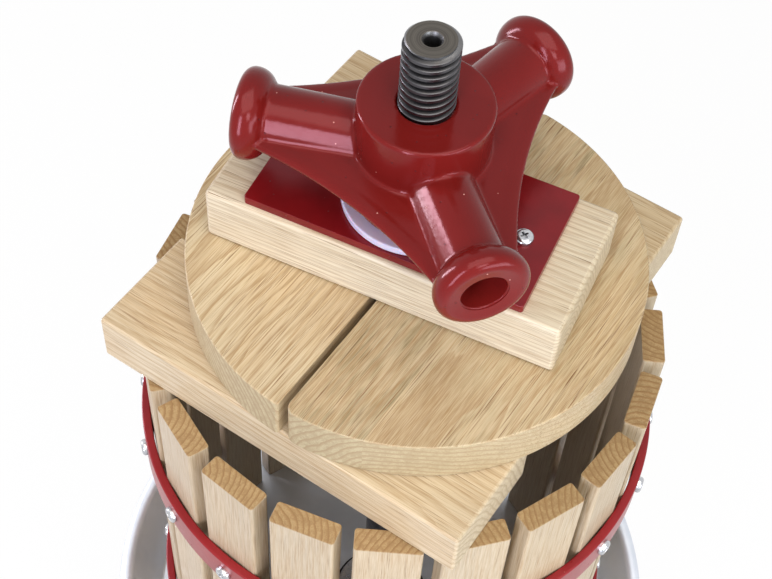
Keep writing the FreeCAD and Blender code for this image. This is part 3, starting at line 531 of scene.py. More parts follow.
def bevelled(bm, offset, segments, keep=lambda edge: True):
    """Round the sharp edges for which keep(edge) is true."""
    sharp = [edge for edge in bm.edges
             if len(edge.link_faces) == 2 and edge.calc_face_angle() > math.radians(25) and keep(edge)]
    bmesh.ops.bevel(bm, geom=sharp, offset=offset, offset_type="OFFSET", segments=segments, profile=0.5,
                    affect="EDGES", clamp_overlap=True, material=-1)
    return bm


def combined(*meshes):
    """Several bmeshes in one."""
    whole = bmesh.new()
    for bm in meshes:
        mesh = bpy.data.meshes.new("part")
        bm.to_mesh(mesh)
        bm.free()
        whole.from_mesh(mesh)
        bpy.data.meshes.remove(mesh)
    return whole


def copied(bm, matrices):
    """Copies of a bmesh at each matrix, in one."""
    return combined(*[turned(bm.copy(), matrix) for matrix in matrices])


def turned(bm, matrix):
    bm.transform(matrix)
    return bm


def about_z(angle):
    return Matrix.Rotation(angle, 4, "Z")


def shifted(x=0, y=0, z=0):
    return Matrix.Translation((x, y, z))


def thirds(start=0.0):
    """Three turns about Z, a third of a turn apart."""
    return [about_z(start + number * TURN / 3) for number in range(3)]


def loose_object(bm, name="blank"):
    mesh = bpy.data.meshes.new(name)
    bm.to_mesh(mesh)
    bm.free()
    thing = bpy.data.objects.new(name, mesh)
    bpy.context.scene.collection.objects.link(thing)
    return thing


def with_modifiers(bm, *modifiers):
    """The bmesh after modifiers, each given as its type and its settings."""
    blank = loose_object(bm)
    for kind, settings in modifiers:
        modifier = blank.modifiers.new(kind.lower(), kind)
        for name, value in settings.items():
            setattr(modifier, name, value)
    finished = bpy.data.meshes.new_from_object(blank.evaluated_get(bpy.context.evaluated_depsgraph_get()))
    bpy.data.objects.remove(blank)
    result = bmesh.new()
    result.from_mesh(finished)
    bpy.data.meshes.remove(finished)
    return result


def cut(bm, *cutters):
    """The bmesh less its cutters, all of them closed."""
    tools = [loose_object(cutter, "cutter") for cutter in cutters]
    result = with_modifiers(bm, *[
        ("BOOLEAN", {"object": tool, "operation": "DIFFERENCE", "solver": "MANIFOLD"}) for tool in tools])
    for tool in tools:
        bpy.data.objects.remove(tool)
    return result


def piece(name, bm, body, replaced, finish, sharp_from=40, flats=True):
    """The finished piece, smooth up to its sharp edges, riding on its body in place of its CAD nodes."""
    bmesh.ops.triangulate(bm, faces=[face for face in bm.faces if len(face.verts) > 4])
    for face in bm.faces:
        face.smooth = True
    limit = math.radians(sharp_from)
    for edge in bm.edges:
        edge.smooth = len(edge.link_faces) == 2 and edge.calc_face_angle(0) < limit
    thing = loose_object(bm, name)
    thing.data.materials.append(FINISHES[finish])
    if flats:
        modifier = thing.modifiers.new("flat faces stay flat", "WEIGHTED_NORMAL")
        modifier.keep_sharp = True
    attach(thing, body)
    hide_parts(*replaced)


def sawn(bm, matrix, seed, pith, seams=(), dull=(0.0,)):
    """Put timber in place. Its grain runs along its own X, and its rings lie about a pith beside it.

    Pith is that pith's distance across and through, in millimetres. Seams are places across the grain where
    one stave is glued to the next, and dull says how grey each stave is.
    """
    draw = random.Random(seed)
    for seam in seams:
        sliced(bm, Y_AXIS * seam, Y_AXIS)
    staves = [Vector((draw.uniform(0, 900), pith[0] * draw.uniform(0.8, 1.2) * draw.choice((-1, 1)),
                      pith[1] * draw.uniform(0.7, 1.3))) for _ in range(len(seams) + 1)]
    grain = bm.loops.layers.float_vector.new("grain")
    ends = bm.loops.layers.float.new("sawn_end")
    greys = bm.loops.layers.float.new("dull")
    bm.normal_update()
    for face in bm.faces:
        number = sum(face.calc_center_median().y > seam for seam in seams)
        for loop in face.loops:
            loop[grain] = loop.vert.co / MM + staves[number]
            loop[greys] = dull[number]
            loop[ends] = max(0.0, abs(face.normal.x) - 0.2) / 0.8
    bm.transform(matrix)
    return bm


# Casting and screw

class PressNut(bpy.types.PropertyGroup):
    """Sizes of the three-armed nut, the washer and the screw."""
    arm_angle: angle_of("Arm angle", -69.2, "Direction of the first arm")
    hub_radius: length_of("Hub radius", 29, "Outside of the hub")
    hub_round: length_of("Hub rounding", 1.5, "Rounding of the hub's ends")
    arm_radius: length_of("Arm radius", 14.5, "Outside of an arm")
    arm_reach: length_of("Arm reach", 80, "End of an arm from the axis")
    lip_radius: length_of("Lip radius", 20.2, "Outside of the lip at an arm's end")
    lip_bead: length_of("Lip bead", 6.4, "Radius of the lip's bead")
    lip_dish: length_of("Lip dish", 1.2, "How far the end face is sunk at its socket")
    socket_radius: length_of("Socket radius", 9.7, "Socket for a turning bar")
    socket_depth: length_of("Socket depth", 40, "Depth of a socket")
    web_over: length_of("Web above axis", 1.6, "Web's upper face above the arms' axis, at its edge")
    web_under: length_of("Web below axis", 5, "Web's lower face below the arms' axis, at its edge")
    web_waist: length_of("Web waist", 44, "Web's edge from the axis, halfway between arms")
    web_side: length_of("Web at lip", 16.6, "Half width of the web inside a lip's crest")
    web_edge: length_of("Web edge", 6.5, "How far in from its edge the web is rounded")
    web_rise: length_of("Web rise", 1.0, "How much the web's faces rise towards hub and arms")
    lip_rim: length_of("Lip rim", 4.6, "Rounding of the lip towards its end face")
    voxel: length_of("Casting grid", 0.9, "Grid on which the casting's blended skin is made")
    screw_radius: length_of("Screw radius", 12, "Outside of the screw")
    thread_pitch: length_of("Thread pitch", 4, "Rise of one turn")
    thread_depth: length_of("Thread depth", 2, "Depth of the thread")
    thread_floor: length_of("Thread floor", 1.35, "Width of the groove at its floor")
    thread_flank: angle_of("Thread flank", 15, "Slope of each flank")
    thread_soft: length_of("Thread crest rounding", 0.22, "Rounding of the thread's crest")
    thread_start: length_of("Thread start", 299.8, "Level where the thread runs out")
    screw_chamfer: length_of("Screw chamfer", 1.6, "Chamfer round the screw's top")
    mouth_round: length_of("Socket mouth", 0.7, "Rounding of a socket's mouth")
    countersink: length_of("Countersink", 4, "Depth of the cone at each end of the nut's thread")
    thread_air: length_of("Thread air", 0.3, "Air between the screw's thread and the nut's")
    washer_air: length_of("Washer air", 1, "Air between the screw and the thrust washer")
    washer_round: length_of("Washer rounding", 0.9, "Rounding of the thrust washer's edges")


def hub_blank(nut, height):
    """The hub on the origin, its ends rounded."""
    corners = [(0, 0), (nut.hub_radius, 0), (nut.hub_radius, height), (0, height)]
    rounded = softened_corners(corners, nut.hub_round, 6)
    outer = [point for point in rounded if point[0] > nut.hub_radius * 0.5]
    return spun([(0, 0), *outer, (0, height)], 256)


def arm_blank(nut):
    """One arm along +X at the hub's middle: tube, valley, swelling lip, rounded rim and the dished end."""
    valley, slope = 1.5 * MM, 62
    start = nut.arm_reach - 14.5 * MM
    groove = arc((nut.arm_radius + valley, start), valley, 180, 180 - slope, 6)
    foot = groove[-1]
    swell = (nut.lip_radius - foot[0]) / (1 - math.cos(math.radians(slope)))
    crest = foot[1] + swell * math.sin(math.radians(slope))
    rim = (nut.lip_radius - nut.lip_rim, nut.arm_reach - nut.lip_rim)
    section = [(0, 0), (nut.arm_radius, 0), *groove,
               *arc((nut.lip_radius - swell, crest), swell, -slope, 0, 14)[1:],
               *arc(rim, nut.lip_rim, 0, 90, 10), (0, nut.arm_reach - nut.lip_dish * 2)]
    return turned(spun(section, 256), Matrix.Rotation(QUARTER, 4, "Y"))


def web_outline(nut, inset):
    """Three hollow sides from lip to lip, each drawn in by inset. They end inside the lips."""
    reach = nut.arm_reach - nut.lip_bead
    lip = Vector((reach, nut.web_side, 0))
    halfway = Matrix.Rotation(TURN / 6, 3, "Z") @ X_AXIS
    sag = lip.dot(halfway) - nut.web_waist
    radius = (lip.length_squared - lip.dot(halfway) ** 2 + sag ** 2) / (2 * sag)
    centre = halfway * (nut.web_waist + radius)
    side = centre.y - math.sqrt((radius + inset) ** 2 - (reach - centre.x) ** 2)
    start = Vector((reach, side, 0)) - centre
    sweep = 2 * start.angle(-centre)
    hollow = [centre + Matrix.Rotation(-sweep * step / 40, 3, "Z") @ start for step in range(41)]
    return [turn @ point for turn in thirds() for point in hollow]


def web_blank(nut):
    """The web: its faces rise from a rounded edge towards hub and arms."""
    steps, slope = 8, 8 * MM

    def side(height, rise):
        return [(nut.web_edge * (1 - math.cos(QUARTER * n / steps)), height * math.sin(QUARTER * n / steps))
                for n in range(steps + 1)] + [(nut.web_edge + slope, height + rise)]

    lower = side(-nut.web_under, -nut.web_rise)
    levels = lower[:0:-1] + side(nut.web_over, nut.web_rise)
    bm = bmesh.new()
    rings = []
    for inset, height in levels:
        ring = [bm.verts.new((point.x, point.y, height)) for point in web_outline(nut, inset)]
        rings.append([bm.edges.new(pair) for pair in zip(ring, ring[1:] + ring[:1])])
    for below, above in zip(rings, rings[1:]):
        bmesh.ops.bridge_loops(bm, edges=below + above)
    bmesh.ops.holes_fill(bm, edges=rings[0] + rings[-1])
    bmesh.ops.recalc_face_normals(bm, faces=bm.faces)
    return bm


def blended_casting(nut, height):
    """Hub, web and arms as one skin with cast fillets where they meet."""
    middle = shifted(z=height / 2)
    arms = copied(arm_blank(nut), [middle @ turn for turn in thirds()])
    whole = combined(hub_blank(nut, height), turned(web_blank(nut), middle), arms)
    reference = loose_object(whole.copy(), "casting_reference")
    skin = with_modifiers(
        whole,
        ("REMESH", {"mode": "VOXEL", "voxel_size": nut.voxel, "use_smooth_shade": True}),
        ("SHRINKWRAP", {"target": reference, "wrap_method": "NEAREST_SURFACEPOINT"}))
    bpy.data.objects.remove(reference)
    fill_creases(skin, nut)
    return skin


def fill_creases(bm, nut, spread=2, passes=4):
    """Smooth a band along every hollow crease but the crisp groove behind a lip."""
    bm.normal_update()
    groove, blend = nut.arm_reach - 17 * MM, 1.5 * MM
    least = 0.055 * nut.voxel
    arms = [turn @ X_AXIS for turn in thirds()]

    def along_arm(vert):
        return max(vert.co.dot(arm) for arm in arms)

    hollow = set()
    for vert in bm.verts:
        around = sum((edge.other_vert(vert).co for edge in vert.link_edges), Vector()) / len(vert.link_edges)
        if (around - vert.co).dot(vert.normal) > least and along_arm(vert) < groove:
            hollow.add(vert)
    for _ in range(spread):
        hollow |= {edge.other_vert(vert) for vert in hollow for edge in vert.link_edges}
    hollow = {vert for vert in hollow if along_arm(vert) < groove + blend}
    for _ in range(passes):
        bmesh.ops.smooth_vert(bm, verts=list(hollow), factor=0.5,
                              use_axis_x=True, use_axis_y=True, use_axis_z=True)


def threaded(nut, bottom, top, grow=0.0, taper=0.0):
    """A threaded rod between two levels, open at its ends, its thread in step with the screw's.

    Grow adds air all round, and the thread runs out over taper above the bottom.
    """
    steps = 48
    pitch, depth, soft = nut.thread_pitch, nut.thread_depth, nut.thread_soft
    outer, inner = nut.screw_radius + grow, nut.screw_radius - depth + grow
    floor = nut.thread_floor / 2 - grow * 0.9
    mouth = floor + depth * math.tan(nut.thread_flank)
    ease, crest = mouth - 0.06 * MM, mouth + soft * 0.7
    section = [(inner, -floor), (inner, floor), (outer - soft, ease), (outer, crest),
               (outer, pitch - crest), (outer - soft, pitch - ease), (inner, pitch - floor)]
    first = nut.thread_start + (math.floor((bottom - nut.thread_start) / pitch) - 2) * pitch
    turns = math.ceil((top - bottom) / pitch) + 4
    one = bmesh.new()
    verts = [one.verts.new((radius, 0, first + height)) for radius, height in section]
    edges = [one.edges.new(pair) for pair in zip(verts, verts[1:])]
    bmesh.ops.spin(one, geom=verts + edges, cent=(0, 0, 0), axis=Z_AXIS, dvec=Z_AXIS * pitch / steps,
                   angle=TURN, steps=steps, use_merge=False)
    bm = copied(one, [shifted(z=pitch * number) for number in range(turns)])
    bmesh.ops.remove_doubles(bm, verts=bm.verts, dist=0.01 * MM)
    if taper:
        for vert in bm.verts:
            radius = math.hypot(vert.co.x, vert.co.y)
            share = min(1.0, max(0.0, (vert.co.z - bottom) / taper))
            wanted = outer + (radius - outer) * share ** 2 * (3 - 2 * share)
            vert.co.x, vert.co.y = vert.co.x * wanted / radius, vert.co.y * wanted / radius
    for level, side in ((bottom, -1), (top, 1)):
        sliced(bm, Z_AXIS * level, Z_AXIS * side, clear_outer=True, dist=1e-7)
    return bm


def rim_at(bm, level):
    """The open edges at a level."""
    return [edge for edge in bm.edges if edge.is_boundary
            and all(abs(vert.co.z - level) < 1e-5 for vert in edge.verts)]


def drawn_in(bm, rim, radius, level, merge=False):
    """Extrude an open rim to a circle of a radius at a level, or close it there to a point."""
    grown = bmesh.ops.extrude_edge_only(bm, edges=rim)["geom"]
    verts = only(bmesh.types.BMVert, grown)
    for vert in verts:
        span = math.hypot(vert.co.x, vert.co.y)
        vert.co = Vector((vert.co.x * radius / span, vert.co.y * radius / span, level))
    if merge:
        bmesh.ops.pointmerge(bm, verts=verts, merge_co=Z_AXIS * level)
        return []
    return only(bmesh.types.BMEdge, grown)


def build_screw(nut, spigot):
    """The screw from its lathe centre down to its foot, one skin."""
    bottom, top, shoulder = low("press_screw").z, high("press_screw").z, high("clamp_washer").z
    run_out = nut.thread_start + 0.5 * nut.thread_pitch
    bm = threaded(nut, run_out, top, taper=1.5 * nut.thread_pitch)
    for step in range(1, 4):
        sliced(bm, Z_AXIS * (top - nut.screw_chamfer * step / 3), Z_AXIS)
    for vert in bm.verts:
        most = nut.screw_radius - nut.screw_chamfer + (top - vert.co.z)
        span = math.hypot(vert.co.x, vert.co.y)
        if span > most:
            vert.co.x, vert.co.y = vert.co.x * most / span, vert.co.y * most / span
    # The faced top, the mouth of the lathe centre and its drilled hole, as radius and depth.
    rim = rim_at(bm, top)
    for radius, depth in ((9.4, 0), (4.5, 0), (2.9, 2.7), (2.9, 11)):
        rim = drawn_in(bm, rim, radius * MM, top - depth * MM)
    drawn_in(bm, rim, 0, top - 12.4 * MM, merge=True)
    # The plain shaft, its shoulder on the clamping washer, and the chamfered foot.
    rim = rim_at(bm, run_out)
    for radius, level in ((nut.screw_radius, run_out - 1 * MM), (nut.screw_radius, shoulder),
                          (spigot, shoulder), (spigot, bottom + 1 * MM), (spigot - 1 * MM, bottom)):
        rim = drawn_in(bm, rim, radius, level)
    drawn_in(bm, rim, 0, bottom, merge=True)
    return cleaned(bm, 1e-7)


class PRESS_OT_screw(bpy.types.Operator):
    """Fixed screw with its thread, chamfered top and lathe centre"""
    bl_idname = "press.screw"
    bl_label = "Press screw"

    def execute(self, context):
        screw = build_screw(context.scene.press_nut, context.scene.press_stand.spigot)
        piece("screw", screw, "stand", ["press_screw"], "dark_steel", 42, False)
        return {"FINISHED"}


def socket_cutter(nut):
    """A blind socket along +X with a rounded mouth, drawn past the arm's end."""
    floor, reach = nut.arm_reach - nut.socket_depth, nut.arm_reach - nut.lip_dish
    wide = nut.socket_radius + nut.mouth_round
    mouth = arc((wide, reach - nut.mouth_round), nut.mouth_round, 180, 90, 3)
    section = [(0, floor - 1.5 * MM), (nut.socket_radius - 2 * MM, floor),
               (nut.socket_radius, floor + 1 * MM), *mouth, (wide, reach + 3 * MM), (0, reach + 3 * MM)]
    return turned(spun(section, 96), Matrix.Rotation(QUARTER, 4, "Y"))


def countersink(nut, face, inward):
    """A cone at one end of the nut's thread, which lies inward of the face."""
    radius, depth = nut.screw_radius + 1.1 * MM, nut.countersink
    return spun([(0, face + inward * depth), (radius - depth, face + inward * depth), (radius, face),
                 (radius, face - inward * MM), (0, face - inward * MM)], 96)


class PRESS_OT_nut(bpy.types.Operator):
    """Three-armed nut: blended casting with bar sockets and an inside thread"""
    bl_idname = "press.nut"
    bl_label = "Three-armed nut"

    def execute(self, context):
        nut = context.scene.press_nut
        foot, top = low("three_arm_nut").z, high("three_arm_nut").z
        skin = turned(blended_casting(nut, top - foot), about_z(nut.arm_angle))
        skin = turned(skin, shifted(z=foot))
        middle = shifted(z=(foot + top) / 2)
        sockets = copied(socket_cutter(nut), [middle @ turn for turn in thirds(nut.arm_angle)])
        below, above = foot - 2 * MM, top + 2 * MM
        rod = threaded(nut, below, above, grow=nut.thread_air)
        for end in (below, above):
            drawn_in(rod, rim_at(rod, end), 0, end, merge=True)
        cleaned(rod, 1e-7)
        casting = cut(skin, sockets, rod, countersink(nut, foot, 1), countersink(nut, top, -1))
        piece("nut_casting", casting, "nut", ["three_arm_nut"], "casting_red", 48, False)
        return {"FINISHED"}


class PRESS_OT_washer(bpy.types.Operator):
    """Nylon thrust washer between the nut and the head plate"""
    bl_idname = "press.washer"
    bl_label = "Thrust washer"

    def execute(self, context):
        nut = context.scene.press_nut
        ring = flat_ring("thrust_washer", nut.screw_radius + nut.washer_air, nut.washer_round, 4, 160)
        piece("nylon_washer", ring, "washer", ["thrust_washer"], "nylon", 50)
        return {"FINISHED"}


# Head: block, plate and their screws

class PressHead(bpy.types.PropertyGroup):
    """Sizes of the head block, its plate and the pan-head screws."""
    angle: angle_of("Block angle", -21.5, "Direction of the block's length")
    bore: length_of("Bore", 15.5, "Radius of the hole through block and plate")
    block_round: length_of("Block rounding", 2.2, "Rounding of the block's edges")
    plate_corner: length_of("Plate corner", 1.5, "Corner radius of the plate")
    plate_edge: length_of("Plate edge", 0.7, "Rounding of the plate's edge")
    screw_pitch: length_of("Screw pitch", 105, "Between the plate's two screws")
    screw_head: length_of("Screw head", 4.4, "Radius of a plate screw's pan head")
    screw_dome: length_of("Screw dome", 2.8, "Height of a plate screw's pan head")
    hoop_head: length_of("Hoop screw head", 4.2, "Radius of a hoop screw's pan head")
    hoop_dome: length_of("Hoop screw dome", 2.6, "Height of a hoop screw's pan head")


def pan_head(radius, dome, steps=40):
    """A pan head seated on the origin: straight edge, domed top and a tapered cross recess."""
    edge, shoulder = dome * 0.38, radius * 0.42
    rounding = [math.radians(15 * step) for step in range(1, 7)]
    head = spun([(0, 0), (radius, 0), (radius, edge),
                 *[(radius - shoulder * (1 - math.cos(turn)), edge + (dome - edge) * math.sin(turn))
                   for turn in rounding], (0, dome)], steps)
    cross = []
    for turn in (0, QUARTER):
        wing = cuboid(radius * 1.2, radius * 0.31, dome * 1.7)
        for vert in wing.verts:
            if vert.co.z < 0:
                vert.co.x *= 0.45
                vert.co.y *= 0.55
        cross.append(turned(wing, about_z(turn) @ shifted(z=dome * 1.05)))
    return bevelled(cut(head, *cross), 0.07 * MM, 1)


class PRESS_OT_head(bpy.types.Operator):
    """Head block, steel plate and the plate's two screws"""
    bl_idname = "press.head"
    bl_label = "Head block and plate"

    def execute(self, context):
        head = context.scene.press_head
        place, extent = turned_box("head_block", head.angle)
        block = bevelled(cuboid(*extent), head.block_round, 4)
        block = cut(block, plug(head.bore, -extent.z, extent.z, 96))
        bevelled(block, 0.6 * MM, 2, sharper(70))
        piece("oak_head_block", sawn(block, place, 11, (40, 22)), "head", ["head_block"], "block_wood")

        place, extent = turned_box("head_plate", head.angle)
        plate = bevelled(cuboid(*extent), head.plate_corner, 5, runs_along(2))
        plate = cut(plate, plug(head.bore, -extent.z, extent.z, 96))
        bevelled(plate, head.plate_edge, 3, sharper(60))
        piece("painted_plate", turned(plate, place), "head", ["head_plate"], "plate_red", 50)

        spots = [place @ shifted(side * head.screw_pitch / 2, 0, extent.z / 2) @ about_z(math.radians(turn))
                 for side, turn in ((-1, 25), (1, 55))]
        screws = copied(pan_head(head.screw_head, head.screw_dome), spots)
        piece("plate_screw_heads", screws, "head", ["plate_screws"], "zinc_steel", 35)
        return {"FINISHED"}


# Split disc and boards

class PressTimber(bpy.types.PropertyGroup):
    """Sizes and tones of the timber."""
    board_angle: angle_of("Board angle", -30.6, "Direction of the boards' length")
    board_round: length_of("Board rounding", 1.6, "Rounding of a board's edges")
    disc_radius: length_of("Disc radius", 106, "Outside of the split disc")
    disc_gap: length_of("Disc gap", 3.3, "Gap between the disc's halves")
    disc_bore: length_of("Disc bore", 21, "Hole in the disc's middle")
    disc_corner: length_of("Disc corner", 5, "Rounding where the gap meets the rim")
    disc_crisp_corner: length_of("Crisp disc corner", 1.6, "The same on the left half")
    disc_round: length_of("Disc edge rounding", 0.8, "Rounding of the disc's flat edges")
    disc_shift: length_of("Disc shift", 2.7, "Disc's centre from the screw, across the gap")
    disc_seam: length_of("Disc seam", 37.8, "Glued seam from the gap")
    slat_round: length_of("Slat rounding", 1.6, "Rounding of a slat's long edges")
    roughness: share_of("Timber roughness", 0.46, "Roughness of a planed face")
    varnish: share_of("Varnish", 0.12, "Weight of the thin varnish")
    board_colour: colour_of("Board", display(204, 187, 156), "Planed board")
    board_end: colour_of("Board end", display(206, 190, 160), "End grain of boards and block")
    block_colour: colour_of("Block", display(220, 211, 188), "Head block")
    disc_colour: colour_of("Disc", display(203, 186, 150), "Split disc")
    disc_end: colour_of("Disc end", display(180, 166, 132), "End grain round the disc")
    slat_colour: colour_of("Slat", display(176, 160, 134), "Basket slat")
    slat_end: colour_of("Slat end", display(168, 142, 100), "End grain of a slat")


def half_disc(timber, thick, corner):
    """Half of the disc on the origin, its gap face on +Y of the gap's middle, its grain along X."""
    face, rim = timber.disc_gap / 2, timber.disc_radius
    beside = math.sqrt((rim - corner) ** 2 - (face + corner) ** 2)
    lean = math.degrees(math.atan2(face + corner, beside))
    notch = math.degrees(math.asin(face / timber.disc_bore))
    outline = [*arc((beside, face + corner), corner, -90, lean, 10),
               *arc((0, 0), rim, lean, 180 - lean, 120)[1:-1],
               *arc((-beside, face + corner), corner, 180 - lean, 270, 10),
               *arc((0, 0), timber.disc_bore, 180 - notch, notch, 40)]
    bm = extruded([(x, y, 0) for x, y in outline], Z_AXIS * thick)
    bevelled(bm, timber.disc_round, 3, even_along(2))
    sliced(bm, (0, 0, 0), X_AXIS)
    return bm


class PRESS_OT_discs(bpy.types.Operator):
    """Both halves of the split disc"""
    bl_idname = "press.discs"
    bl_label = "Split disc"

    def execute(self, context):
        timber = context.scene.press_timber
        foot, top = low("half_disc_right").z, high("half_disc_right").z
        middle = shifted(z=foot) @ about_z(timber.board_angle) @ shifted(timber.disc_shift)
        for name, corner, turn, seams, dull, seed in (
                ("right", timber.disc_corner, -QUARTER, [timber.disc_seam], (1.0, 0.45), 5),
                ("left", timber.disc_crisp_corner, QUARTER, [], (0.0,), 8)):
            bm = half_disc(timber, top - foot, corner)
            sawn(bm, middle @ about_z(turn), seed, (64, 26), seams, dull)
            piece(f"oak_disc_{name}", bm, f"disc_{name}", [f"half_disc_{name}"], "disc_wood")
        return {"FINISHED"}


class PRESS_OT_boards(bpy.types.Operator):
    """The two boards across the basket's rim"""
    bl_idname = "press.boards"
    bl_label = "Boards"

    def execute(self, context):
        timber = context.scene.press_timber
        for name, seed in (("front", 21), ("back", 22)):
            place, extent = turned_box(f"board_{name}", timber.board_angle)
            bm = sawn(bevelled(cuboid(*extent), timber.board_round, 4), place, seed, (48, 30))
            piece(f"oak_board_{name}", bm, f"{name}_board", [f"board_{name}"], "board_wood")
        return {"FINISHED"}


# Basket

class PressBasket(bpy.types.PropertyGroup):
    """Sizes of the basket."""
    slats: IntProperty(name="Slats", description="Slats round the basket", default=20, min=3)
    slat_thick: length_of("Slat thickness", 11, "Thickness of a slat")
    slat_width: length_of("Slat width", 31, "Width of a slat")
    hoop_bar: length_of("Hoop bar", 4.5, "Thickness of a hoop")
    hoop_round: length_of("Hoop rounding", 0.9, "Rounding of a hoop's edges")


def basket_axis():
    lowest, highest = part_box("hoop_top")
    return Vector(((lowest.x + highest.x) / 2, (lowest.y + highest.y) / 2, 0))


class PRESS_OT_slats(bpy.types.Operator):
    """Upright slats of the basket"""
    bl_idname = "press.slats"
    bl_label = "Slats"

    def execute(self, context):
        basket, timber = context.scene.press_basket, context.scene.press_timber
        axis = basket_axis()
        lowest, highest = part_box("slat_01")
        outward = shifted(highest.x - axis.x - basket.slat_thick / 2, 0, (lowest.z + highest.z) / 2)
        for number in range(basket.slats):
            node = f"slat_{number + 1:02d}"
            bm = cuboid(highest.z - lowest.z, basket.slat_width, basket.slat_thick)
            bevelled(bm, timber.slat_round, 4, runs_along(0))
            bevelled(bm, 0.5 * MM, 2, even_along(0))
            place = (Matrix.Translation(axis) @ about_z(number * TURN / basket.slats) @ outward
                     @ Matrix.Rotation(-QUARTER, 4, "Y"))
            piece(f"oak_{node}", sawn(bm, place, 40 + number, (26, 16)), "basket", [node], "slat_wood")
        return {"FINISHED"}


class PRESS_OT_hoops(bpy.types.Operator):
    """Both hoops and their pan-head screws"""
    bl_idname = "press.hoops"
    bl_label = "Hoops"

    def execute(self, context):
        basket, head = context.scene.press_basket, context.scene.press_head
        axis = Matrix.Translation(basket_axis())
        for level in ("top", "bottom"):
            lowest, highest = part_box(f"hoop_{level}")
            outer = (highest.x - lowest.x) / 2
            band = flat_ring(f"hoop_{level}", outer - basket.hoop_bar, basket.hoop_round, 3, 240)
            piece(f"painted_hoop_{level}", turned(band, axis), "basket", [f"hoop_{level}"], "hoop_red", 50)
            draw = random.Random(level)
            seat = shifted(outer, 0, (lowest.z + highest.z) / 2) @ Matrix.Rotation(QUARTER, 4, "Y")
            spots = [axis @ about_z(number * TURN / basket.slats) @ seat @ about_z(draw.uniform(0, QUARTER))
                     for number in range(basket.slats)]
            heads = copied(pan_head(head.hoop_head, head.hoop_dome, 28), spots)
            piece(f"hoop_screw_heads_{level}", heads, "basket", [f"hoop_screws_{level}"], "zinc_steel", 35)
        return {"FINISHED"}


# Stand

class PressMetal(bpy.types.PropertyGroup):
    """Colours of the metalwork."""
    casting_colour: colour_of("Casting", display(110, 25, 23), "Enamel of the nut")
    plate_colour: colour_of("Plate", display(122, 20, 24), "Paint of the head plate")
    hoop_colour: colour_of("Hoops", display(138, 32, 35), "Paint of hoops and stand")
    nylon_colour: colour_of("Nylon", display(206, 199, 222), "Thrust washer")
    # The thread's two colours carry painted light: shade in the groove, a highlight on the crests.
    groove_oil_and_shade_colour: colour_of("Groove", display(58, 58, 60), "Oiled steel in the thread")
    crest_wear_and_highlight_colour: colour_of("Crest", display(88, 88, 92), "Rubbed steel on the thread's crests")
    faced_colour: colour_of("Faced steel", display(100, 96, 90), "Turned top of the screw")


class PressStand(bpy.types.PropertyGroup):
    """Sizes of the tray, the legs and the fastenings at the screw's foot."""
    sheet: length_of("Sheet", 1.2, "Thickness of the tray's sheet")
    tray_floor: length_of("Tray floor", 143, "Radius of the tray's flat floor")
    tray_mouth: length_of("Tray mouth", 157, "Inside of the tray's wall at its top")
    tray_curl: length_of("Rim curl", 4.6, "Outside radius of the rolled rim")
    tray_skirt: length_of("Rim skirt", 4, "Straight edge below the curl")
    tray_bend: length_of("Tray bend", 3, "Inside radius where the floor meets the wall")
    spout_width: length_of("Spout width", 34, "Outside width of the spout")
    spout_side: length_of("Spout side", 15, "Spout's sides above the tray's floor")
    spout_end: length_of("Spout end", 191, "End of the spout from the axis")
    spigot: length_of("Spigot", 10, "Radius of the screw's foot")
    fit: length_of("Fit", 0.2, "Air round a shank in its hole")
    leg_width: length_of("Leg width", 32, "Width of the flat bar")
    leg_bar: length_of("Leg bar", 6, "Thickness of the flat bar")
    leg_start: length_of("Leg start", 25, "Inner end of a leg from the axis")
    leg_shoulder: length_of("Leg shoulder", 128, "Where a leg bends down, from the axis")
    leg_toe: length_of("Leg toe", 158, "Where a leg bends out to its foot, from the axis")
    leg_end: length_of("Leg end", 200, "End of a foot from the axis")
    leg_bend: length_of("Leg bend", 5, "Inside radius of the bends")
    foot_hole: length_of("Foot hole", 4.5, "Bolt hole in each foot")
    foot_hole_reach: length_of("Foot hole reach", 181.1, "Bolt hole from the axis")
    bolt_inner: length_of("Inner bolt", 34, "Inner bolt of a leg from the axis")
    bolt_outer: length_of("Outer bolt", 51, "Outer bolt of a leg from the axis")
    bolt: length_of("Bolt", 3, "Shank of the leg bolts")
    bolt_head: length_of("Bolt head", 5.6, "Radius of the countersunk head")
    leg_nut: length_of("Leg nut", 10, "Across the flats of the leg nuts")
    foot_nut: length_of("Foot nut", 30, "Across the flats of the foot nut")


def hex_nut(across, bore, foot, top):
    """A hexagon nut between two levels, its corners turned off and its bore eased."""
    corner, height = across / math.sqrt(3), top - foot
    bm = bmesh.new()
    bmesh.ops.create_cone(bm, cap_ends=True, segments=6, radius1=corner, radius2=corner, depth=height,
                          matrix=about_z(QUARTER / 3))
    cutters, flat, far, ease = [], across / 2 * 0.98, corner * 1.2, 0.8 * MM
    for side in (1, -1):
        edge, past = side * height / 2, side * (height / 2 + 1 * MM)
        slope, mouth = edge - side * (corner - across / 2) * 0.6, edge - side * ease
        outside = [(flat, edge), (corner * 1.02, slope), (far, slope), (far, past), (flat, past)]
        inside = [(0, mouth), (bore, mouth), (bore + ease, edge), (bore + ease, past), (0, past)]
        cutters += [spun(outside, 96, closed=True), spun(inside, 64)]
    return turned(cut(bm, *cutters, plug(bore, -height, height, 64)), shifted(z=(foot + top) / 2))


def leg_profile(stand):
    """Side view of a leg bent from flat bar, as (reach, level) points."""
    top, bar = high("leg_1").z, stand.leg_bar
    slope = math.atan2(top - bar, stand.leg_toe - stand.leg_shoulder)
    back = bar * math.tan(slope / 2)
    tight, wide = stand.leg_bend, stand.leg_bend + bar
    return bent_outline([
        (stand.leg_start, top - bar, 0), (stand.leg_shoulder - back, top - bar, tight),
        (stand.leg_toe - back, 0, wide), (stand.leg_end, 0, 0), (stand.leg_end, bar, 0),
        (stand.leg_toe, bar, tight), (stand.leg_shoulder, top, wide), (stand.leg_start, top, 0)])


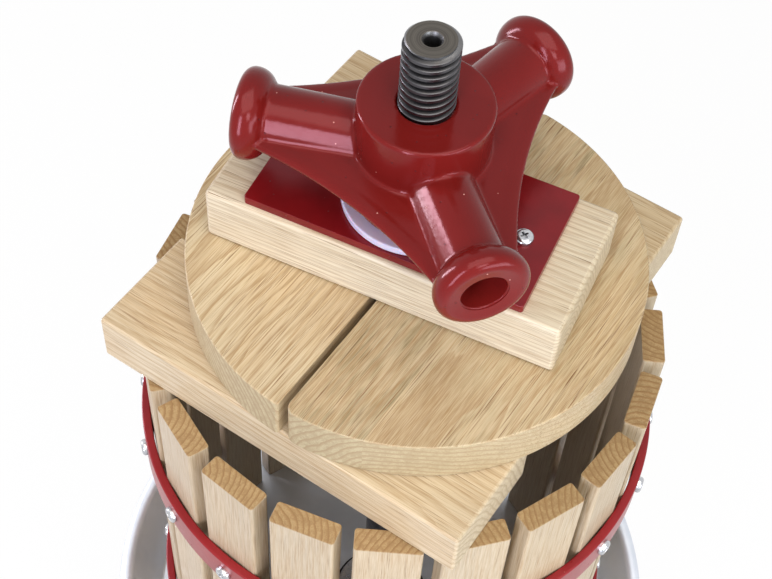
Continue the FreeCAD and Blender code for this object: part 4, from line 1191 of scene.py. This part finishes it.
def bent_outline(corners):
    """An outline whose corners carry their own bend radius, each turned by a true arc."""
    points = []
    for before, corner, after in with_neighbours(corners):
        spot, radius = Vector(corner[:2]), corner[2]
        if not radius:
            points.append(tuple(spot))
            continue
        first, second = ((Vector(other[:2]) - spot).normalized() for other in (before, after))
        half = first.angle(second) / 2
        centre = spot + (first + second).normalized() * radius / math.sin(half)
        start = spot + first * radius / math.tan(half) - centre
        end = spot + second * radius / math.tan(half) - centre
        sweep = start.angle_signed(end)
        points += [tuple(centre + Matrix.Rotation(-sweep * step / 8, 2) @ start) for step in range(9)]
    return points


def bolt_spots(stand, turns):
    """Where the leg bolts stand, two to a leg."""
    return [turn @ shifted(reach) for turn in turns for reach in (stand.bolt_inner, stand.bolt_outer)]


def countersunk(stand, top, under, grow=0.0):
    """A countersunk bolt between two levels. grow adds air round it and past its ends."""
    head, shank = stand.bolt_head + grow, stand.bolt + grow
    drop, ease = head - shank, 0.6 * MM
    if grow:
        return spun([(0, under), (shank, under), (shank, top - drop), (head, top), (head, top + 1 * MM),
                     (0, top + 1 * MM)], 40)
    return spun([(0, under), (shank - ease, under), (shank, under + ease), (shank, top - drop),
                 (head, top - 0.15 * MM), (head - 0.15 * MM, top), (0, top)], 40)


class PRESS_OT_legs(bpy.types.Operator):
    """Three bent legs, the round plate under them, and their bolts and nuts"""
    bl_idname = "press.legs"
    bl_label = "Legs"

    def execute(self, context):
        stand = context.scene.press_stand
        top, plate_foot = high("leg_1").z, low("hub_plate").z
        drill, turns = 12 * MM, thirds(QUARTER)
        for number, turn in enumerate(turns, 1):
            side = [(reach, -stand.leg_width / 2, height) for reach, height in leg_profile(stand)]
            leg = bevelled(extruded(side, Y_AXIS * stand.leg_width), 0.6 * MM, 2)
            holes = [turned(plug(stand.foot_hole, -1 * MM, drill, 48), shifted(stand.foot_hole_reach))]
            holes += [turned(countersunk(stand, top, top - drill, stand.fit), spot)
                      for spot in bolt_spots(stand, [Matrix()])]
            leg = turned(cut(leg, *holes), turn)
            piece(f"bent_leg_{number}", leg, "stand", [f"leg_{number}"], "red_steel", 35)
        plate, spots = flat_ring("hub_plate", stand.spigot + stand.fit, 0.8 * MM), bolt_spots(stand, turns)
        drills = [turned(plug(stand.bolt + stand.fit, plate_foot - 2 * MM, top, 40), spot) for spot in spots]
        piece("round_hub_plate", cut(plate, *drills), "stand", ["hub_plate"], "red_steel", 35)
        bolt = countersunk(stand, top, low("leg_bolts").z)
        piece("leg_bolt_set", copied(bolt, spots), "stand", ["leg_bolts"], "zinc_steel", 35)
        nut = hex_nut(stand.leg_nut, stand.bolt + 0.1 * MM, low("leg_nuts").z, plate_foot)
        piece("leg_nut_set", copied(nut, spots), "stand", ["leg_nuts"], "zinc_steel", 30)
        return {"FINISHED"}


class PRESS_OT_tray(bpy.types.Operator):
    """Sheet tray with its rolled rim, and the open spout"""
    bl_idname = "press.tray"
    bl_label = "Tray and spout"

    def execute(self, context):
        stand = context.scene.press_stand
        sheet, curl, bend = stand.sheet, stand.tray_curl, stand.tray_bend
        under = low("tray").z
        deck, top = under + sheet, high("tray").z - curl
        hole, foot, wall = stand.spigot + stand.fit, stand.tray_floor, stand.tray_mouth
        middle, edge = wall + curl, top - stand.tray_skirt
        outside = bent_outline([(hole, under, 0), (foot + sheet, under, bend + sheet), (wall + sheet, top, 0),
                                (0, top, 0)])[:-1]
        inside = bent_outline([(0, top, 0), (wall, top, 0), (foot, deck, bend), (hole, deck, 0)])[1:]
        section = [*outside, *arc((middle, top), curl - sheet, 180, 0, 16)[1:], (middle + curl - sheet, edge),
                   (middle + curl, edge), *arc((middle, top), curl, 0, 180, 20)[:-1], *inside]
        slot = cuboid(stand.spout_width - 2 * sheet, 40 * MM, stand.spout_side - sheet)
        slot.transform(shifted(0, -foot - 12 * MM, deck + (stand.spout_side - sheet) / 2))
        shell = cut(spun(section, 256, closed=True), slot)
        piece("spun_tray", shell, "stand", ["tray"], "tray_steel", 40)

        half, rise = stand.spout_width / 2, deck + stand.spout_side
        within, outer, inner = half - sheet, 2 * MM, 0.8 * MM
        outline = bent_outline([
            (-half, under, outer), (half, under, outer), (half, rise, 0), (within, rise, 0),
            (within, deck, inner), (-within, deck, inner), (-within, rise, 0), (-half, rise, 0)])
        channel = extruded([(x, -stand.spout_end, z) for x, z in outline], Y_AXIS * stand.spout_end)
        skin = sheet + stand.fit / 2
        mould = spun([(0, under - 1 * MM), (foot + skin, under - 1 * MM), (foot + skin, under),
                      (wall + skin, top), (0, top)], 256)
        piece("open_spout", cut(channel, mould), "stand", ["spout"], "tray_steel", 40)
        return {"FINISHED"}


class PRESS_OT_fastenings(bpy.types.Operator):
    """Seal, washers, spacer and nut at the screw's foot"""
    bl_idname = "press.fastenings"
    bl_label = "Fastenings"

    def execute(self, context):
        stand = context.scene.press_stand
        hole = stand.spigot + stand.fit
        rings = (("tray_seal", "seal_rubber", 0.5), ("clamp_washer", "zinc_steel", 0.5),
                 ("centre_spacer", "zinc_steel", 0.4), ("foot_washer", "zinc_steel", 0.5))
        for node, finish, rounding in rings:
            piece(f"turned_{node}", flat_ring(node, hole, rounding * MM), "stand", [node], finish, 50)
        nut = hex_nut(stand.foot_nut, stand.spigot + 0.1 * MM, low("foot_nut").z, high("foot_nut").z)
        piece("turned_foot_nut", nut, "stand", ["foot_nut"], "zinc_steel", 30)
        return {"FINISHED"}


# Studio

class PressStudio(bpy.types.PropertyGroup):
    """Camera, lamps and floor."""
    camera_place: FloatVectorProperty(
        name="Camera", description="Where the camera stands", size=3, subtype="TRANSLATION", unit="LENGTH",
        default=(-10.77 * MM, -424.55 * MM, 1065.4 * MM))
    camera_down: angle_of("Looking down", 53.79, "Camera's angle below the horizon")
    camera_roll: angle_of("Roll", 4.34, "Camera's roll")
    lens: FloatProperty(
        name="Lens", description="Focal length for a 36 mm sensor", default=70.26, unit="CAMERA")
    floor_white: share_of("Floor white", 0.96, "How far the floor shows as plain white")
    sky: FloatProperty(
        name="Sky", description="Strength of the even light from all round", default=0.02, min=0)


# Each lamp's name, place, width and height in metres, watts and colour
LAMPS = (
    ("front", (-0.5, -1.29, 0.92), (0.3, 1.15), 17, (0.84, 0.86, 1.0)),
    ("left", (-1.35, 0.42, 0.8), (0.19, 0.9), 14.5, (0.94, 0.91, 1.0)),
    ("right", (0.55, -1.2, 1.45), (0.45, 0.45), 5, (1.0, 0.96, 0.95)),
    ("low", (1.3, -1.2, 0.72), (1.2, 0.8), 20, (0.86, 0.93, 1.0)),
    ("top", (0.2, -0.5, 2.4), (2.0, 1.8), 36, (1.0, 0.93, 0.82)),
)
LAMPS_LOOK_AT = Vector((0, 0, 0.59))


def softbox(name, place, size, power, colour):
    light = bpy.data.lights.new(name, "AREA")
    light.shape, light.size, light.size_y, light.energy, light.color = "RECTANGLE", *size, power, colour
    lamp = bpy.data.objects.new(name, light)
    bpy.context.scene.collection.objects.link(lamp)
    lamp.location = place
    lamp.rotation_euler = (LAMPS_LOOK_AT - Vector(place)).to_track_quat("-Z", "Y").to_euler()


def shown_rays(finish):
    """1 for rays that come from the camera, straight or by way of metal and glass."""
    rays = [finish.node("ShaderNodeLightPath", {}, {}, name)
            for name in ("Is Camera Ray", "Is Glossy Ray", "Is Transmission Ray")]
    return finish.node("ShaderNodeMath", {"operation": "ADD", "use_clamp": True}, {
        0: rays[0] + rays[1], 1: rays[2]})


def floor_finish(studio):
    finish = Finish("studio floor", Roughness=0.7, Specular_IOR_Level=0.1)
    speckle = finish.cloud(finish.place(), 30, 3.0)
    finish.done(Base_Color=finish.mixed(speckle, (0.86, 0.86, 0.86), (0.9, 0.9, 0.9)))
    glow = finish.nodes.new("ShaderNodeEmission")
    mix = finish.nodes.new("ShaderNodeMixShader")
    finish.join(mix.inputs[0], shown_rays(finish) * studio.floor_white)
    finish.links.new(finish.shader.outputs[0], mix.inputs[1])
    finish.links.new(glow.outputs[0], mix.inputs[2])
    finish.links.new(mix.outputs[0], finish.end.inputs["Surface"])
    return finish.material


def studio_sky(studio):
    """Even light all round, which the camera and bright metal see as plain white."""
    world = bpy.data.worlds.new("studio")
    bpy.context.scene.world = world
    world.use_nodes = True
    sky = Wiring(world.node_tree)
    background = sky.nodes["Background"]
    background.inputs["Color"].default_value = (1, 1, 1, 1)
    shown = shown_rays(sky)
    sky.join(background.inputs["Strength"], shown * (1 - studio.sky) + studio.sky)


class PRESS_OT_studio(bpy.types.Operator):
    """Floor, sky, lamps and camera"""
    bl_idname = "press.studio"
    bl_label = "Studio"

    def execute(self, context):
        studio = context.scene.press_studio
        bm = bmesh.new()
        bmesh.ops.create_grid(bm, x_segments=1, y_segments=1, size=6)
        floor = loose_object(bm, "studio_floor")
        floor.data.materials.append(floor_finish(studio))
        studio_sky(studio)
        for lamp in LAMPS:
            softbox(*lamp)
        data = bpy.data.cameras.new("camera")
        data.lens, data.sensor_width, data.sensor_fit = studio.lens, 36, "HORIZONTAL"
        data.clip_start, data.clip_end = 0.01, 50
        camera = bpy.data.objects.new("camera", data)
        context.scene.collection.objects.link(camera)
        camera.matrix_world = (Matrix.Translation(studio.camera_place)
                               @ Matrix.Rotation(QUARTER - studio.camera_down, 4, "X")
                               @ Matrix.Rotation(studio.camera_roll, 4, "Z"))
        context.scene.camera = camera
        context.scene.view_settings.view_transform = "Standard"
        return {"FINISHED"}


STEPS = (PRESS_OT_studio, PRESS_OT_screw, PRESS_OT_nut, PRESS_OT_washer, PRESS_OT_head, PRESS_OT_discs,
         PRESS_OT_boards, PRESS_OT_slats, PRESS_OT_hoops, PRESS_OT_tray, PRESS_OT_legs, PRESS_OT_fastenings)
GROUPS = {"press_nut": PressNut, "press_head": PressHead, "press_timber": PressTimber,
          "press_basket": PressBasket, "press_metal": PressMetal, "press_stand": PressStand,
          "press_studio": PressStudio}


class PRESS_PT_panel(bpy.types.Panel):
    """Every piece of the press as a button"""
    bl_idname = "PRESS_PT_panel"
    bl_label = "Fruit press"
    bl_space_type = "VIEW_3D"
    bl_region_type = "UI"
    bl_category = "Press"

    def draw(self, context):
        for step in STEPS:
            self.layout.operator(step.bl_idname)


def register():
    for group in GROUPS.values():
        bpy.utils.register_class(group)
    for name, group in GROUPS.items():
        setattr(bpy.types.Scene, name, PointerProperty(type=group))
    for step in (*STEPS, PRESS_PT_panel):
        bpy.utils.register_class(step)


def unregister():
    for step in (*STEPS, PRESS_PT_panel):
        bpy.utils.unregister_class(step)
    for name, group in GROUPS.items():
        delattr(bpy.types.Scene, name)
        bpy.utils.unregister_class(group)


def main():
    register()
    FINISHES.update(make_finishes())
    bpy.ops.press.studio()
    bpy.ops.press.screw()
    bpy.ops.press.nut()
    bpy.ops.press.washer()
    bpy.ops.press.head()
    bpy.ops.press.discs()
    bpy.ops.press.boards()
    bpy.ops.press.slats()
    bpy.ops.press.hoops()
    bpy.ops.press.tray()
    bpy.ops.press.legs()
    bpy.ops.press.fastenings()


if __name__ == "__main__":
    main()
